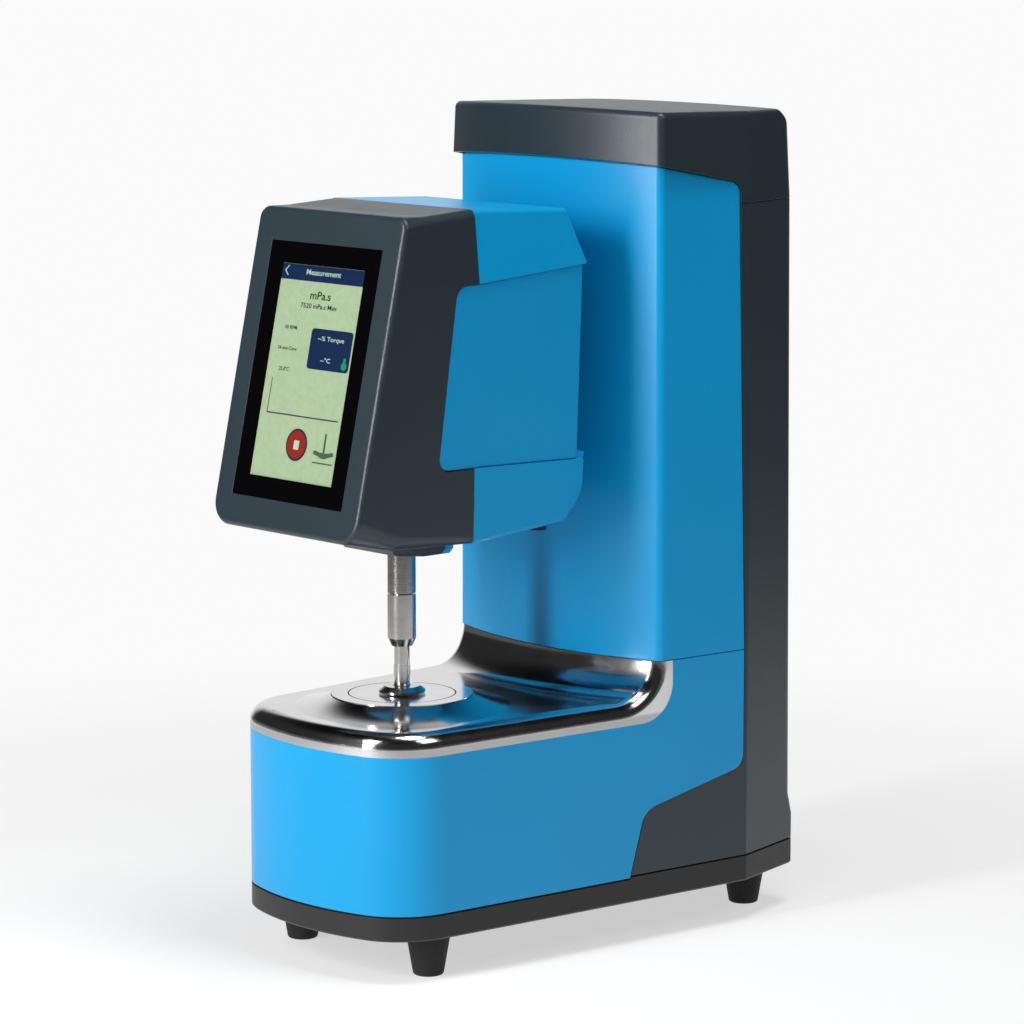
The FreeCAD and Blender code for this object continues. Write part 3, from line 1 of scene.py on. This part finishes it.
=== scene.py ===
"""Looks of the cone-plate viscometer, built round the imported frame.

Metres, +Z up, -Y to the user. The order is materials, head shells, display, coupling, stage.
"""
import bmesh
import bpy
import math
from mathutils import Matrix, Vector

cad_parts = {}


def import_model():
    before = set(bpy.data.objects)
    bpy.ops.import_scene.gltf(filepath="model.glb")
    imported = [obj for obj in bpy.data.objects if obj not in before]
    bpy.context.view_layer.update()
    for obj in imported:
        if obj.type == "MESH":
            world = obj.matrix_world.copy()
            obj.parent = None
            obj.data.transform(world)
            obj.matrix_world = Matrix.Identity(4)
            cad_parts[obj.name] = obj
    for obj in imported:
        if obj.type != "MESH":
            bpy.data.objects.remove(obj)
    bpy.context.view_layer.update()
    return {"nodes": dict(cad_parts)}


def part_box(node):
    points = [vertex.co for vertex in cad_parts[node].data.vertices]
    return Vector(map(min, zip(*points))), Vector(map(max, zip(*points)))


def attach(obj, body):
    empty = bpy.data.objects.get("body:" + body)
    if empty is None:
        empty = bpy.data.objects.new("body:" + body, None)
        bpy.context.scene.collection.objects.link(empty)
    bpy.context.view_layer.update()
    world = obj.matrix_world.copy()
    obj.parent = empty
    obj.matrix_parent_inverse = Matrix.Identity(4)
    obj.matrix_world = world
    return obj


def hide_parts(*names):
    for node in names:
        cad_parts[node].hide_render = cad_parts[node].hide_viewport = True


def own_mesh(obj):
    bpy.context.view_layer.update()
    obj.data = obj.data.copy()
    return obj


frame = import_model()
nodes = frame["nodes"]
MM = 0.001

# Camera as fitted to the photograph
CAMERA_PLACE = (1.589466, -1.429451, 0.545104)
CAMERA_YAW = math.radians(47.903)
CAMERA_PITCH = math.radians(8.622)
CAMERA_LENS = 145.424
CAMERA_SENSOR = 36.0
CAMERA_REACH = 100.0

# Colours, linear
BLUE = (0.001, 0.285, 0.59)
SLATE = (0.015, 0.027, 0.036)
BLACK = (0.018, 0.018, 0.019)
RUBBER = (0.014, 0.014, 0.015)
STEEL = (0.62, 0.62, 0.63)
TURNED_STEEL = (0.60, 0.59, 0.57)
ALUMINIUM = (0.62, 0.62, 0.63)
BRASS = (0.60, 0.42, 0.15)
CERAMIC = (0.75, 0.75, 0.72)
BOARD_GREEN = (0.02, 0.16, 0.06)
SCREEN = (0.224, 0.291, 0.181)
NAVY = (0.003, 0.012, 0.042)
INK = (0.008, 0.014, 0.013)
INK_GREEN = (0.004, 0.035, 0.006)
PALE = (0.26, 0.34, 0.27)
RED = (0.16, 0.014, 0.006)
ICON = (0.040, 0.070, 0.048)
AXIS = (0.045, 0.02, 0.05)
MINT = (0.01, 0.16, 0.09)
GLASS_BLACK = (0.0015, 0.0015, 0.0018)

# Finishes: noise scales are per metre, depths in metres
CLOUD_SCALE = 22.0
SPECK_SCALE = 90.0
METAL_CLOUD_SCALE = 60.0
ROUGHNESS_SPREAD = 0.12
BEVEL_SAMPLES = 4
COVER_EDGE = 0.0006
BASE_EDGE = 0.0005
INK_SPECULAR = 0.3

# Deck rim: heights between which the ground band turns into polish, and the band's finish
GROUND_BAND = (0.1185, 0.1215)
GROUND_ROUGHNESS = 0.26
GROUND_LINE_SCALE = 1400.0
GROUND_LINE_DEPTH = 0.00005
GROUND_SLANT = (1.0, 1.0, 1.0)
POLISH = (0.12, 0.16)


# Materials

def new_material(name):
    """Empty node material with a Principled shader."""
    material = bpy.data.materials.new(name)
    material.use_nodes = True
    return material, material.node_tree, material.node_tree.nodes["Principled BSDF"]


def add(tree, kind, **values):
    """Node of a kind with its properties or input defaults set."""
    node = tree.nodes.new(kind)
    for key, value in values.items():
        if key in node.inputs:
            node.inputs[key].default_value = value
        else:
            setattr(node, key, value)
    return node


def noise(tree, scale, detail=2.0, stretch=None):
    """Noise in object coordinates, optionally stretched along an axis."""
    coords = add(tree, "ShaderNodeTexCoord")
    source = coords.outputs["Object"]
    if stretch:
        mapping = add(tree, "ShaderNodeMapping")
        mapping.inputs["Scale"].default_value = stretch
        tree.links.new(source, mapping.inputs["Vector"])
        source = mapping.outputs["Vector"]
    node = add(tree, "ShaderNodeTexNoise", Scale=scale, Detail=detail)
    tree.links.new(source, node.inputs["Vector"])
    return node.outputs["Fac"]


def ramp(tree, source, low, high, start=0.3, end=0.7):
    """Colour ramp between two values or colours."""
    node = add(tree, "ShaderNodeValToRGB")
    node.color_ramp.elements[0].position = start
    node.color_ramp.elements[1].position = end
    for element, value in zip(node.color_ramp.elements, (low, high)):
        element.color = (*value, 1) if isinstance(value, tuple) else (value, value, value, 1)
    tree.links.new(source, node.inputs["Fac"])
    return node.outputs["Color"]


def bump(tree, height, distance, under=None):
    """Bump node in metres, over another normal if given."""
    node = add(tree, "ShaderNodeBump", Strength=1.0, Distance=distance)
    tree.links.new(height, node.inputs["Height"])
    if under:
        tree.links.new(under, node.inputs["Normal"])
    return node.outputs["Normal"]


def shade(colour, change):
    """Colour made lighter or darker by a share."""
    return tuple(min(1.0, c * (1 + change)) for c in colour)


def surface(name, colour, roughness, grain, depth, vary, metal=0.0, specular=0.5, edge=0.0):
    """General finish: mottled colour, uneven roughness, a fine grain and softened edges."""
    material, tree, shader = new_material(name)
    shader.inputs["Metallic"].default_value = metal
    shader.inputs["Specular IOR Level"].default_value = specular
    cloud = noise(tree, CLOUD_SCALE, 3.0)
    tint = ramp(tree, cloud, shade(colour, -vary), shade(colour, vary), 0.0, 1.0)
    tree.links.new(tint, shader.inputs["Base Color"])
    smoothest, roughest = roughness * (1 - ROUGHNESS_SPREAD), roughness * (1 + ROUGHNESS_SPREAD)
    uneven = ramp(tree, noise(tree, SPECK_SCALE, 4.0), smoothest, roughest, 0.0, 1.0)
    tree.links.new(uneven, shader.inputs["Roughness"])
    soft = None
    if edge:
        soft = add(tree, "ShaderNodeBevel", samples=BEVEL_SAMPLES, Radius=edge).outputs["Normal"]
    relief = bump(tree, noise(tree, grain), depth, under=soft)
    tree.links.new(relief, shader.inputs["Normal"])
    return material


def ink(name, colour, glow):
    """Printed or lit display colour with a faint mottle."""
    material, tree, shader = new_material(name)
    tint = ramp(tree, noise(tree, 300.0), shade(colour, -0.05), shade(colour, 0.05))
    tree.links.new(tint, shader.inputs["Base Color"])
    tree.links.new(ramp(tree, noise(tree, 40.0), 0.30, 0.36), shader.inputs["Roughness"])
    shader.inputs["Specular IOR Level"].default_value = INK_SPECULAR
    tree.links.new(tint, shader.inputs["Emission Color"])
    shader.inputs["Emission Strength"].default_value = glow
    return material


def calculate(tree, operation, *sources):
    """Math node fed by sockets or numbers."""
    node = add(tree, "ShaderNodeMath", operation=operation)
    for i, source in enumerate(sources):
        if isinstance(source, (int, float)):
            node.inputs[i].default_value = source
        else:
            tree.links.new(source, node.inputs[i])
    return node.outputs[0]


def fade(tree, source, start, end, low, high):
    """Smooth change from low to high while the source goes from start to end."""
    node = add(tree, "ShaderNodeMapRange", interpolation_type="SMOOTHSTEP")
    tree.links.new(source, node.inputs["Value"])
    for name, value in (("From Min", start), ("From Max", end), ("To Min", low), ("To Max", high)):
        node.inputs[name].default_value = value
    return node.outputs["Result"]


def blend(tree, share, first, second):
    """Mix of two shaders."""
    node = add(tree, "ShaderNodeMixShader")
    tree.links.new(share, node.inputs[0])
    tree.links.new(first, node.inputs[1])
    tree.links.new(second, node.inputs[2])
    return node.outputs[0]


def ringed_metal(name, colour, roughness, pitch, depth):
    """Turned metal: fine rings along the height."""
    material, tree, shader = new_material(name)
    shader.inputs["Metallic"].default_value = 1.0
    tint = ramp(tree, noise(tree, METAL_CLOUD_SCALE), shade(colour, -0.06), shade(colour, 0.06))
    tree.links.new(tint, shader.inputs["Base Color"])
    rings = noise(tree, 1.0 / pitch, 2.0, (0.02, 0.02, 1.0))
    tree.links.new(ramp(tree, rings, roughness * 0.8, roughness * 1.25), shader.inputs["Roughness"])
    tree.links.new(bump(tree, rings, depth), shader.inputs["Normal"])
    return material


def polished_sheet(name):
    """Bright sheet metal, ground with slanting lines along the rim's lower band."""
    material, tree, shader = new_material(name)
    shader.inputs["Metallic"].default_value = 1.0
    tint = ramp(tree, noise(tree, METAL_CLOUD_SCALE), shade(STEEL, -0.03), shade(STEEL, 0.03))
    tree.links.new(tint, shader.inputs["Base Color"])
    place = add(tree, "ShaderNodeTexCoord").outputs["Object"]
    height = add(tree, "ShaderNodeSeparateXYZ")
    tree.links.new(place, height.inputs[0])
    ground = fade(tree, height.outputs["Z"], *GROUND_BAND, 1.0, 0.0)
    slant = add(tree, "ShaderNodeVectorMath", operation="DOT_PRODUCT")
    slant.inputs[1].default_value = GROUND_SLANT
    tree.links.new(place, slant.inputs[0])
    lines = add(tree, "ShaderNodeTexNoise", noise_dimensions="1D",
                Scale=GROUND_LINE_SCALE, Detail=1.0)
    tree.links.new(slant.outputs["Value"], lines.inputs["W"])
    smooth = ramp(tree, noise(tree, SPECK_SCALE, 4.0), *POLISH)
    rough = calculate(tree, "MULTIPLY_ADD", ground, GROUND_ROUGHNESS, smooth)
    tree.links.new(rough, shader.inputs["Roughness"])
    relief = calculate(tree, "MULTIPLY", lines.outputs["Fac"], ground)
    tree.links.new(bump(tree, relief, GROUND_LINE_DEPTH), shader.inputs["Normal"])
    return material


MATERIALS = {
    "blue_paint": surface("blue_paint", BLUE, 0.31, 1100.0, 0.00002, 0.03,
                          specular=0.30, edge=COVER_EDGE),
    "slate_plastic": surface("slate_plastic", SLATE, 0.38, 1500.0, 0.00005, 0.05,
                             specular=0.5, edge=COVER_EDGE),
    "black_plastic": surface("black_plastic", BLACK, 0.45, 1300.0, 0.00005, 0.08,
                             specular=0.35, edge=BASE_EDGE),
    "rubber": surface("rubber", RUBBER, 0.75, 900.0, 0.00008, 0.10, specular=0.35),
    "polished_steel": polished_sheet("polished_steel"),
    "spindle_steel": ringed_metal("spindle_steel", TURNED_STEEL, 0.20, 0.0004, 0.000004),
    "bare_steel": surface("bare_steel", TURNED_STEEL, 0.35, 700.0, 0.00001, 0.05, metal=1.0),
    "aluminium": surface("aluminium", ALUMINIUM, 0.38, 800.0, 0.00001, 0.05, metal=1.0),
    "brass": surface("brass", BRASS, 0.32, 800.0, 0.00001, 0.05, metal=1.0),
    "ceramic": surface("ceramic", CERAMIC, 0.55, 600.0, 0.00001, 0.03),
    "display_black": surface("display_black", GLASS_BLACK, 0.08, 40.0, 0.000001, 0.10,
                             specular=0.02),
    "display_face": ink("display_face", SCREEN, 0.25),
    "circuit_board": surface("circuit_board", BOARD_GREEN, 0.35, 500.0, 0.00002, 0.12),
}

# Each node's material slot, by name, and its new finish
SLOTS = {name: node.material_slots[0].material.name for name, node in nodes.items()}
for name, node in nodes.items():
    node.material_slots[0].material = MATERIALS[SLOTS[name]]


# Shape helpers

PIECE_SHARP = math.radians(32)


def mesh_piece(name, vertices, faces, material, body, smooth=True):
    """Mesh object from points and faces, riding on a body."""
    mesh = bpy.data.meshes.new(name)
    mesh.from_pydata(vertices, [], faces)
    mesh.validate()
    if smooth:
        mesh.shade_smooth()
        mesh.set_sharp_from_angle(angle=PIECE_SHARP)
    piece = bpy.data.objects.new(name, mesh)
    bpy.context.scene.collection.objects.link(piece)
    mesh.materials.append(material)
    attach(piece, body)
    return piece


def turned(name, profile, material, body, steps, centre):
    """Closed profile of (radius, height) pairs turned about a vertical axis."""
    vertices = []
    for i in range(steps):
        angle = math.tau * i / steps
        for r, z in profile:
            vertices.append((centre[0] + r * math.cos(angle), centre[1] + r * math.sin(angle), z))
    count = len(profile)
    faces = []
    for i in range(steps):
        for j in range(count):
            a = i * count + j
            b = i * count + (j + 1) % count
            c = (i + 1) % steps * count + (j + 1) % count
            d = (i + 1) % steps * count + j
            faces.append((a, d, c, b))
    return mesh_piece(name, vertices, faces, material, body)


# Head shells, whose flanks lean

# Heights of the flank's creases, how far it stands out at each, and where across it starts
HEAD_TOP = 0.3858
CREASE = 0.3496
CREASE_RISE = 0.09
LOW_CREASE = 0.2562
HEAD_BOTTOM = 0.2176
OUT_TOP, OUT_CREASE, OUT_LOW, OUT_BOTTOM = -1.9 * MM, 2.0 * MM, -2.1 * MM, -3.0 * MM
FLANK_START, FLANK_FULL = 36 * MM, 50 * MM
FACE_TOP_BAND = 4 * MM

# Where the front housing is cut so that its flank can bend, and its shading
CUT_HEIGHTS = (0.235, LOW_CREASE, 0.28, 0.303, 0.327, CREASE, 0.365)
CUT_SHARES = (0.15, 0.3, 0.45, 0.6, 0.75, 0.9)
CUT_SLACK = 0.00001
SHELL_SHARP = math.radians(20)
SHELL_WEIGHT = 80


def between(value, start, end):
    """Share of the way from start to end, kept from 0 to 1."""
    return min(1.0, max(0.0, (value - start) / (end - start)))


def flank_lean(point, seam_y, front_y):
    """How far the flank stands out at a point: widest at the crease, nothing at the sloped face."""
    crease = CREASE + CREASE_RISE * max(0.0, point.y - seam_y)
    if point.z > crease:
        out = OUT_CREASE + (OUT_TOP - OUT_CREASE) * between(point.z, crease, HEAD_TOP)
    elif point.z > LOW_CREASE:
        out = OUT_LOW + (OUT_CREASE - OUT_LOW) * between(point.z, LOW_CREASE, crease)
    else:
        out = OUT_BOTTOM + (OUT_LOW - OUT_BOTTOM) * between(point.z, HEAD_BOTTOM, LOW_CREASE)
    return out * between(point.y, front_y(point.z), seam_y)


def leaning_shell(name, node):
    """Copy of one of the head's shells with its flanks leaning as the real one's do."""
    seam_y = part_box("upper_wrap")[0].y
    low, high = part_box("head_bezel")
    points = [v.co for v in nodes["head_bezel"].data.vertices]
    face_low = min(points, key=lambda p: p.y)
    face_top_y = min(p.y for p in points if p.z > high.z - FACE_TOP_BAND)

    def front_y(z):
        return face_low.y + (face_top_y - face_low.y) * between(z, face_low.z, high.z)

    work = bmesh.new()
    work.from_mesh(nodes[node].data)
    if node == "head_bezel":
        cuts = [((0, 0, z), (0, 0, 1)) for z in CUT_HEIGHTS]
        cuts += [((0, seam_y * (1 - t) + low.y * t, 0), (0, 1, 0)) for t in CUT_SHARES]
        for place, normal in cuts:
            parts = work.verts[:] + work.edges[:] + work.faces[:]
            bmesh.ops.bisect_plane(work, geom=parts, dist=CUT_SLACK,
                                   plane_co=place, plane_no=normal)
    for vertex in work.verts:
        share = between(abs(vertex.co.x), FLANK_START, FLANK_FULL)
        vertex.co.x += math.copysign(share, vertex.co.x) * flank_lean(vertex.co, seam_y, front_y)
    mesh = bpy.data.meshes.new(name)
    work.to_mesh(mesh)
    work.free()
    if "custom_normal" in mesh.attributes:
        mesh.attributes.remove(mesh.attributes["custom_normal"])
    mesh.shade_smooth()
    mesh.set_sharp_from_angle(angle=SHELL_SHARP)
    piece = bpy.data.objects.new(name, mesh)
    bpy.context.scene.collection.objects.link(piece)
    mesh.materials.clear()
    mesh.materials.append(MATERIALS[SLOTS[node]])
    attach(piece, "head")
    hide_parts(node)
    weighted = piece.modifiers.new("weighted", "WEIGHTED_NORMAL")
    weighted.keep_sharp = True
    weighted.weight = SHELL_WEIGHT


for shell in ("head_bezel", "head_body", "upper_wrap", "lower_wrap"):
    leaning_shell(shell + "_shell", shell)


# Display, in millimetres from the centre of its face

INK_STEP = 0.04
TEXT_LIFT = 0.03
CAP_SHARE = 0.69
TEXT_DEPTH = 0.01
TEXT_BOLD = 0.012


def face_frame():
    """Centre, up and outward directions of the display's face, from the panel's own mesh."""
    low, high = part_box("display_panel")
    corners = [v.co for v in nodes["display_panel"].data.vertices]
    front_low = min(corners, key=lambda p: p.y * 4 + p.z)
    front_top = min(corners, key=lambda p: p.y * 0.2 - p.z)
    centre_x = (low.x + high.x) / 2
    base = Vector((centre_x, front_low.y, front_low.z))
    top = Vector((centre_x, front_top.y, front_top.z))
    up = (top - base).normalized()
    out = Vector((0, -up.z, up.y))
    return (base + top) / 2, up, out


FACE_CENTRE, FACE_UP, FACE_OUT = face_frame()


def on_face(x, v, lift):
    """Point on the display, from its centre, in millimetres, lifted off the face."""
    return FACE_CENTRE + Vector((x * MM, 0, 0)) + FACE_UP * (v * MM) + FACE_OUT * (lift * MM)


def flat_piece(name, outline, material, level=1):
    """Thin plate with the given outline on the display."""
    low, high = INK_STEP * level, INK_STEP * level + INK_STEP
    count = len(outline)
    vertices = [on_face(x, v, lift) for lift in (low, high) for x, v in outline]
    faces = [tuple(range(count, 2 * count)), tuple(reversed(range(count)))]
    for i in range(count):
        j = (i + 1) % count
        faces.append((i, j, count + j, count + i))
    return mesh_piece(name, vertices, faces, material, "head", smooth=False)


def rectangle(x0, x1, v0, v1, radius=0.0, steps=6):
    """Outline of a rectangle, with rounded corners if asked."""
    if radius <= 0:
        return [(x0, v0), (x1, v0), (x1, v1), (x0, v1)]
    points = []
    corners = [(x1 - radius, v1 - radius, 0), (x0 + radius, v1 - radius, 1),
               (x0 + radius, v0 + radius, 2), (x1 - radius, v0 + radius, 3)]
    for x, v, quarter in corners:
        for i in range(steps + 1):
            angle = math.pi / 2 * (quarter + i / steps)
            points.append((x + radius * math.cos(angle), v + radius * math.sin(angle)))
    return points


def disc(x, v, radius, steps=40):
    """Outline of a circle."""
    angles = [math.tau * i / steps for i in range(steps)]
    return [(x + radius * math.cos(angle), v + radius * math.sin(angle)) for angle in angles]


def label(name, words, x, v, height, width, material, level=1):
    """Line of text on the display, from its left end, with its cap height and its length."""
    curve = bpy.data.curves.new(name, "FONT")
    curve.body = words
    curve.size = 1.0
    curve.extrude = TEXT_DEPTH
    curve.offset = TEXT_BOLD
    curve.resolution_u = 4
    curve.materials.append(material)
    piece = bpy.data.objects.new(name, curve)
    bpy.context.scene.collection.objects.link(piece)
    bpy.context.view_layer.update()
    extent = piece.dimensions
    scale_x = width * MM / extent.x
    scale_v = height * MM / CAP_SHARE
    place = on_face(x, v, INK_STEP * level + TEXT_LIFT)
    turn = Matrix((Vector((1, 0, 0)), FACE_UP, FACE_OUT)).transposed().to_4x4()
    scale = Matrix.Diagonal((scale_x, scale_v, MM, 1))
    piece.matrix_world = Matrix.Translation(place) @ turn @ scale
    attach(piece, "head")


def display_page():
    """What the display shows: header, unit, readings, graph axes, stop key and cone symbol."""
    navy = ink("page_navy", NAVY, 0.25)
    pale = ink("page_pale", PALE, 0.3)
    dark = ink("page_ink", INK, 0.1)
    green = ink("page_green", INK_GREEN, 0.2)
    red = ink("page_red", RED, 0.2)
    icon = ink("page_icon", ICON, 0.2)
    axis = ink("page_axis", AXIS, 0.2)
    mint = ink("page_mint", MINT, 0.2)
    flat_piece("page_header", rectangle(-32.3, 32.3, 46.0, 53.9), navy)
    arrow = [(-26.9, 53.0), (-27.6, 53.0), (-30.3, 50.5), (-27.6, 48.0), (-26.9, 48.0),
             (-29.4, 50.5)]
    flat_piece("page_back_arrow", arrow, pale, 2)
    label("page_title", "Measurement", -13.4, 49.3, 2.7, 27.0, pale, 2)
    label("page_unit", "mPa.s", -7.8, 37.3, 4.0, 16.0, green)
    label("page_limit", "7520 mPa.s Max", -14.0, 32.7, 2.3, 28.4, dark)
    label("page_speed", "50 RPM", -23.4, 21.2, 1.8, 9.4, dark)
    label("page_cone", "24 mm Cone", -26.6, 10.6, 1.8, 15.0, dark)
    label("page_target", "25.0°C", -23.0, 0.0, 1.9, 7.9, dark)
    flat_piece("page_box", rectangle(-1.9, 30.3, 2.6, 23.0, 2.0), navy)
    label("page_torque", "--% Torque", 3.7, 17.2, 2.2, 20.2, pale, 2)
    label("page_warmth", "--°C", 8.0, 6.5, 2.2, 7.6, pale, 2)
    flat_piece("page_bulb", disc(26.6, 5.8, 2.1, 20), mint, 2)
    flat_piece("page_stem", rectangle(25.7, 27.5, 6.5, 9.9, 0.8), mint, 3)
    flat_piece("page_axis_up", rectangle(-27.2, -26.7, -21.8, -3.8), axis)
    flat_piece("page_axis_along", rectangle(-27.2, 28.6, -22.0, -21.3), axis)
    flat_piece("page_key_halo", disc(0.1, -35.9, 8.2), icon)
    flat_piece("page_key_ring", disc(0.1, -35.9, 8.0), navy, 2)
    flat_piece("page_key", disc(0.1, -35.9, 7.1), red, 3)
    flat_piece("page_key_square", rectangle(-1.9, 2.1, -38.3, -33.7, 0.3), pale, 4)
    flat_piece("page_cone_shaft", rectangle(20.9, 22.3, -38.0, -28.4), icon)
    cone = [(13.9, -37.6), (15.2, -37.2), (18.5, -38.0), (24.6, -38.0), (28.0, -37.2),
            (29.3, -37.6), (29.3, -39.1), (25.6, -39.9), (22.8, -40.9), (20.6, -40.9),
            (17.6, -39.9), (13.9, -39.1)]
    flat_piece("page_cone_head", cone, icon, 2)
    flat_piece("page_plate_line", rectangle(14.1, 29.4, -43.6, -42.9), icon)


# Coupling

SLEEVE_WALL = 1.5 * MM
RING_PITCH = 0.75 * MM
RING_DEPTH = 0.16 * MM
SLEEVE_EDGE = 0.3 * MM
TURNED_STEPS = 72


def coupling_sleeve():
    """Ringed sleeve in place of the plain one."""
    low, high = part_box("coupling_sleeve")
    outer = (high.x - low.x) / 2
    groove = outer - RING_DEPTH
    bore = outer - SLEEVE_WALL
    centre = ((low.x + high.x) / 2, (low.y + high.y) / 2)
    profile = [(bore, low.z), (outer - SLEEVE_EDGE, low.z), (outer, low.z + SLEEVE_EDGE)]
    rings = int((high.z - low.z - 4 * SLEEVE_EDGE) / RING_PITCH)
    start = low.z + 2 * SLEEVE_EDGE
    for i in range(rings):
        z = start + i * RING_PITCH
        profile += [(outer, z), (groove, z + 0.25 * RING_PITCH), (groove, z + 0.45 * RING_PITCH),
                    (outer, z + 0.7 * RING_PITCH)]
    profile += [(outer, high.z - SLEEVE_EDGE), (outer - SLEEVE_EDGE, high.z), (bore, high.z)]
    piece = turned("ringed_sleeve", profile, MATERIALS["spindle_steel"], "sleeve",
                   TURNED_STEPS, centre)
    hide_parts("coupling_sleeve")


def coupling_spring():
    """Copy of the spring over the sleeve, riding on the spindle."""
    piece = bpy.data.objects.new("coupling_spring", nodes["sleeve_spring"].data.copy())
    bpy.context.scene.collection.objects.link(piece)
    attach(piece, "spindle")
    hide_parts("sleeve_spring")
    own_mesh(piece)


display_page()
coupling_sleeve()
coupling_spring()


# Stage

WHITE = 0.956
WHITE_COLOUR = (WHITE, WHITE, WHITE, 1)
AMBIENT_COLOUR = (0.95, 0.97, 1.0, 1)
AMBIENT_STRENGTH = 0.10
FLOOR_SIZE = 60.0

# White backdrop seen in mirrors: its direction, how sharply it ends, and what is left beside it
BACKDROP_SIDE = (-0.743, 0.669, 0.0)
BACKDROP_EDGE = (0.75, 0.95)
BESIDE_FLOOR = 0.12
BESIDE_SKY = 0.03

# Changes with distance or height, each as start, end, value before and value after
NEAR_FLOOR_IN_MIRRORS = (0.75, 1.20, 1.0, BESIDE_FLOOR)
FLOOR_WHITENESS = (0.22, 0.80, 0.60, 1.0)
SKY_HEIGHT = (0.40, 0.75, 1.0, 0.08)

# Name, place, aim, watts, width and height
LAMPS = (
    ("key", (-0.05, -0.90, 0.80), (0.0, 0.0, 0.25), 2.4, 0.35, 0.35),
    ("strip", (-0.02, -1.15, 0.56), (0.0, 0.0, 0.34), 13.0, 0.13, 0.8),
    ("right", (1.0, 0.15, 1.1), (0.0, 0.0, 0.2), 3.5, 0.6, 0.6),
    ("top", (0.35, 0.0, 1.6), (0.0, 0.0, 0.2), 14.0, 0.5, 0.5),
)


def toward_backdrop(tree, source):
    """How far a place or direction points to the backdrop's side."""
    node = add(tree, "ShaderNodeVectorMath", operation="DOT_PRODUCT")
    node.inputs[1].default_value = BACKDROP_SIDE
    tree.links.new(source, node.inputs[0])
    return node.outputs["Value"]


def mirror_share(tree, path):
    """One for rays that come off metal or gloss, or through glass."""
    glossy, through = path.outputs["Is Glossy Ray"], path.outputs["Is Transmission Ray"]
    return calculate(tree, "MAXIMUM", glossy, through)


def stage():
    """Pale floor: shaded near the object, white further out."""
    corners = [(x * FLOOR_SIZE, y * FLOOR_SIZE, 0) for x, y in ((-1, -1), (1, -1), (1, 1), (-1, 1))]
    mesh = bpy.data.meshes.new("floor")
    mesh.from_pydata(corners, [], [(0, 1, 2, 3)])
    floor = bpy.data.objects.new("floor", mesh)
    bpy.context.scene.collection.objects.link(floor)
    material, tree, shader = new_material("floor")
    tree.links.new(ramp(tree, noise(tree, 1.5), 0.90, 0.91), shader.inputs["Base Color"])
    shader.inputs["Roughness"].default_value = 0.9
    shader.inputs["Specular IOR Level"].default_value = 0.1
    glow = add(tree, "ShaderNodeEmission", Color=WHITE_COLOUR)
    place = add(tree, "ShaderNodeTexCoord").outputs["Object"]
    length = add(tree, "ShaderNodeVectorMath", operation="LENGTH")
    tree.links.new(place, length.inputs[0])
    distance = length.outputs["Value"]
    side = calculate(tree, "DIVIDE", toward_backdrop(tree, place), distance)
    behind = fade(tree, side, *BACKDROP_EDGE, BESIDE_FLOOR, 1.0)
    mirrored = calculate(tree, "MAXIMUM", behind, fade(tree, distance, *NEAR_FLOOR_IN_MIRRORS))
    path = add(tree, "ShaderNodeLightPath")
    direct = path.outputs["Is Camera Ray"]
    tree.links.new(calculate(tree, "MAXIMUM", direct, mirrored), glow.inputs["Strength"])
    white = calculate(tree, "MULTIPLY", direct, fade(tree, distance, *FLOOR_WHITENESS))
    share = calculate(tree, "MAXIMUM", white, mirror_share(tree, path))
    result = blend(tree, share, shader.outputs[0], glow.outputs[0])
    tree.links.new(result, tree.nodes["Material Output"].inputs["Surface"])
    mesh.materials.append(material)


def world():
    """Soft surroundings: white for the camera, a backdrop on one side for mirrors, dim light."""
    studio = bpy.data.worlds.new("studio")
    studio.use_nodes = True
    tree = studio.node_tree
    ambient = tree.nodes["Background"]
    ambient.inputs["Color"].default_value = AMBIENT_COLOUR
    ambient.inputs["Strength"].default_value = AMBIENT_STRENGTH
    white = add(tree, "ShaderNodeBackground", Color=WHITE_COLOUR, Strength=1.0)
    mirrored = add(tree, "ShaderNodeBackground", Color=WHITE_COLOUR)
    direction = add(tree, "ShaderNodeTexCoord").outputs["Generated"]
    height = add(tree, "ShaderNodeSeparateXYZ")
    tree.links.new(direction, height.inputs[0])
    around = fade(tree, toward_backdrop(tree, direction), *BACKDROP_EDGE, BESIDE_SKY, 1.0)
    low = fade(tree, height.outputs["Z"], *SKY_HEIGHT)
    tree.links.new(calculate(tree, "MULTIPLY", around, low), mirrored.inputs["Strength"])
    path = add(tree, "ShaderNodeLightPath")
    unseen = blend(tree, mirror_share(tree, path), ambient.outputs[0], mirrored.outputs[0])
    result = blend(tree, path.outputs["Is Camera Ray"], unseen, white.outputs[0])
    tree.links.new(result, tree.nodes["World Output"].inputs["Surface"])
    bpy.context.scene.world = studio


def lamp(name, place, aim, power, width, height):
    """Rectangular soft lamp aimed at a point."""
    data = bpy.data.lights.new(name, "AREA")
    data.shape = "RECTANGLE"
    data.size = width
    data.size_y = height
    data.energy = power
    light = bpy.data.objects.new(name, data)
    light.location = place
    light.rotation_euler = (Vector(aim) - Vector(place)).to_track_quat("-Z", "Y").to_euler()
    light.visible_camera = False
    bpy.context.scene.collection.objects.link(light)


def camera():
    """Camera at the photograph's place and angle."""
    data = bpy.data.cameras.new("camera")
    data.lens = CAMERA_LENS
    data.sensor_width = CAMERA_SENSOR
    data.clip_end = CAMERA_REACH
    eye = bpy.data.objects.new("camera", data)
    eye.location = CAMERA_PLACE
    eye.rotation_euler = (math.pi / 2 - CAMERA_PITCH, 0, CAMERA_YAW)
    bpy.context.scene.collection.objects.link(eye)
    bpy.context.scene.camera = eye


stage()
world()
for settings in LAMPS:
    lamp(*settings)
camera()
bpy.context.scene.view_settings.view_transform = "Standard"
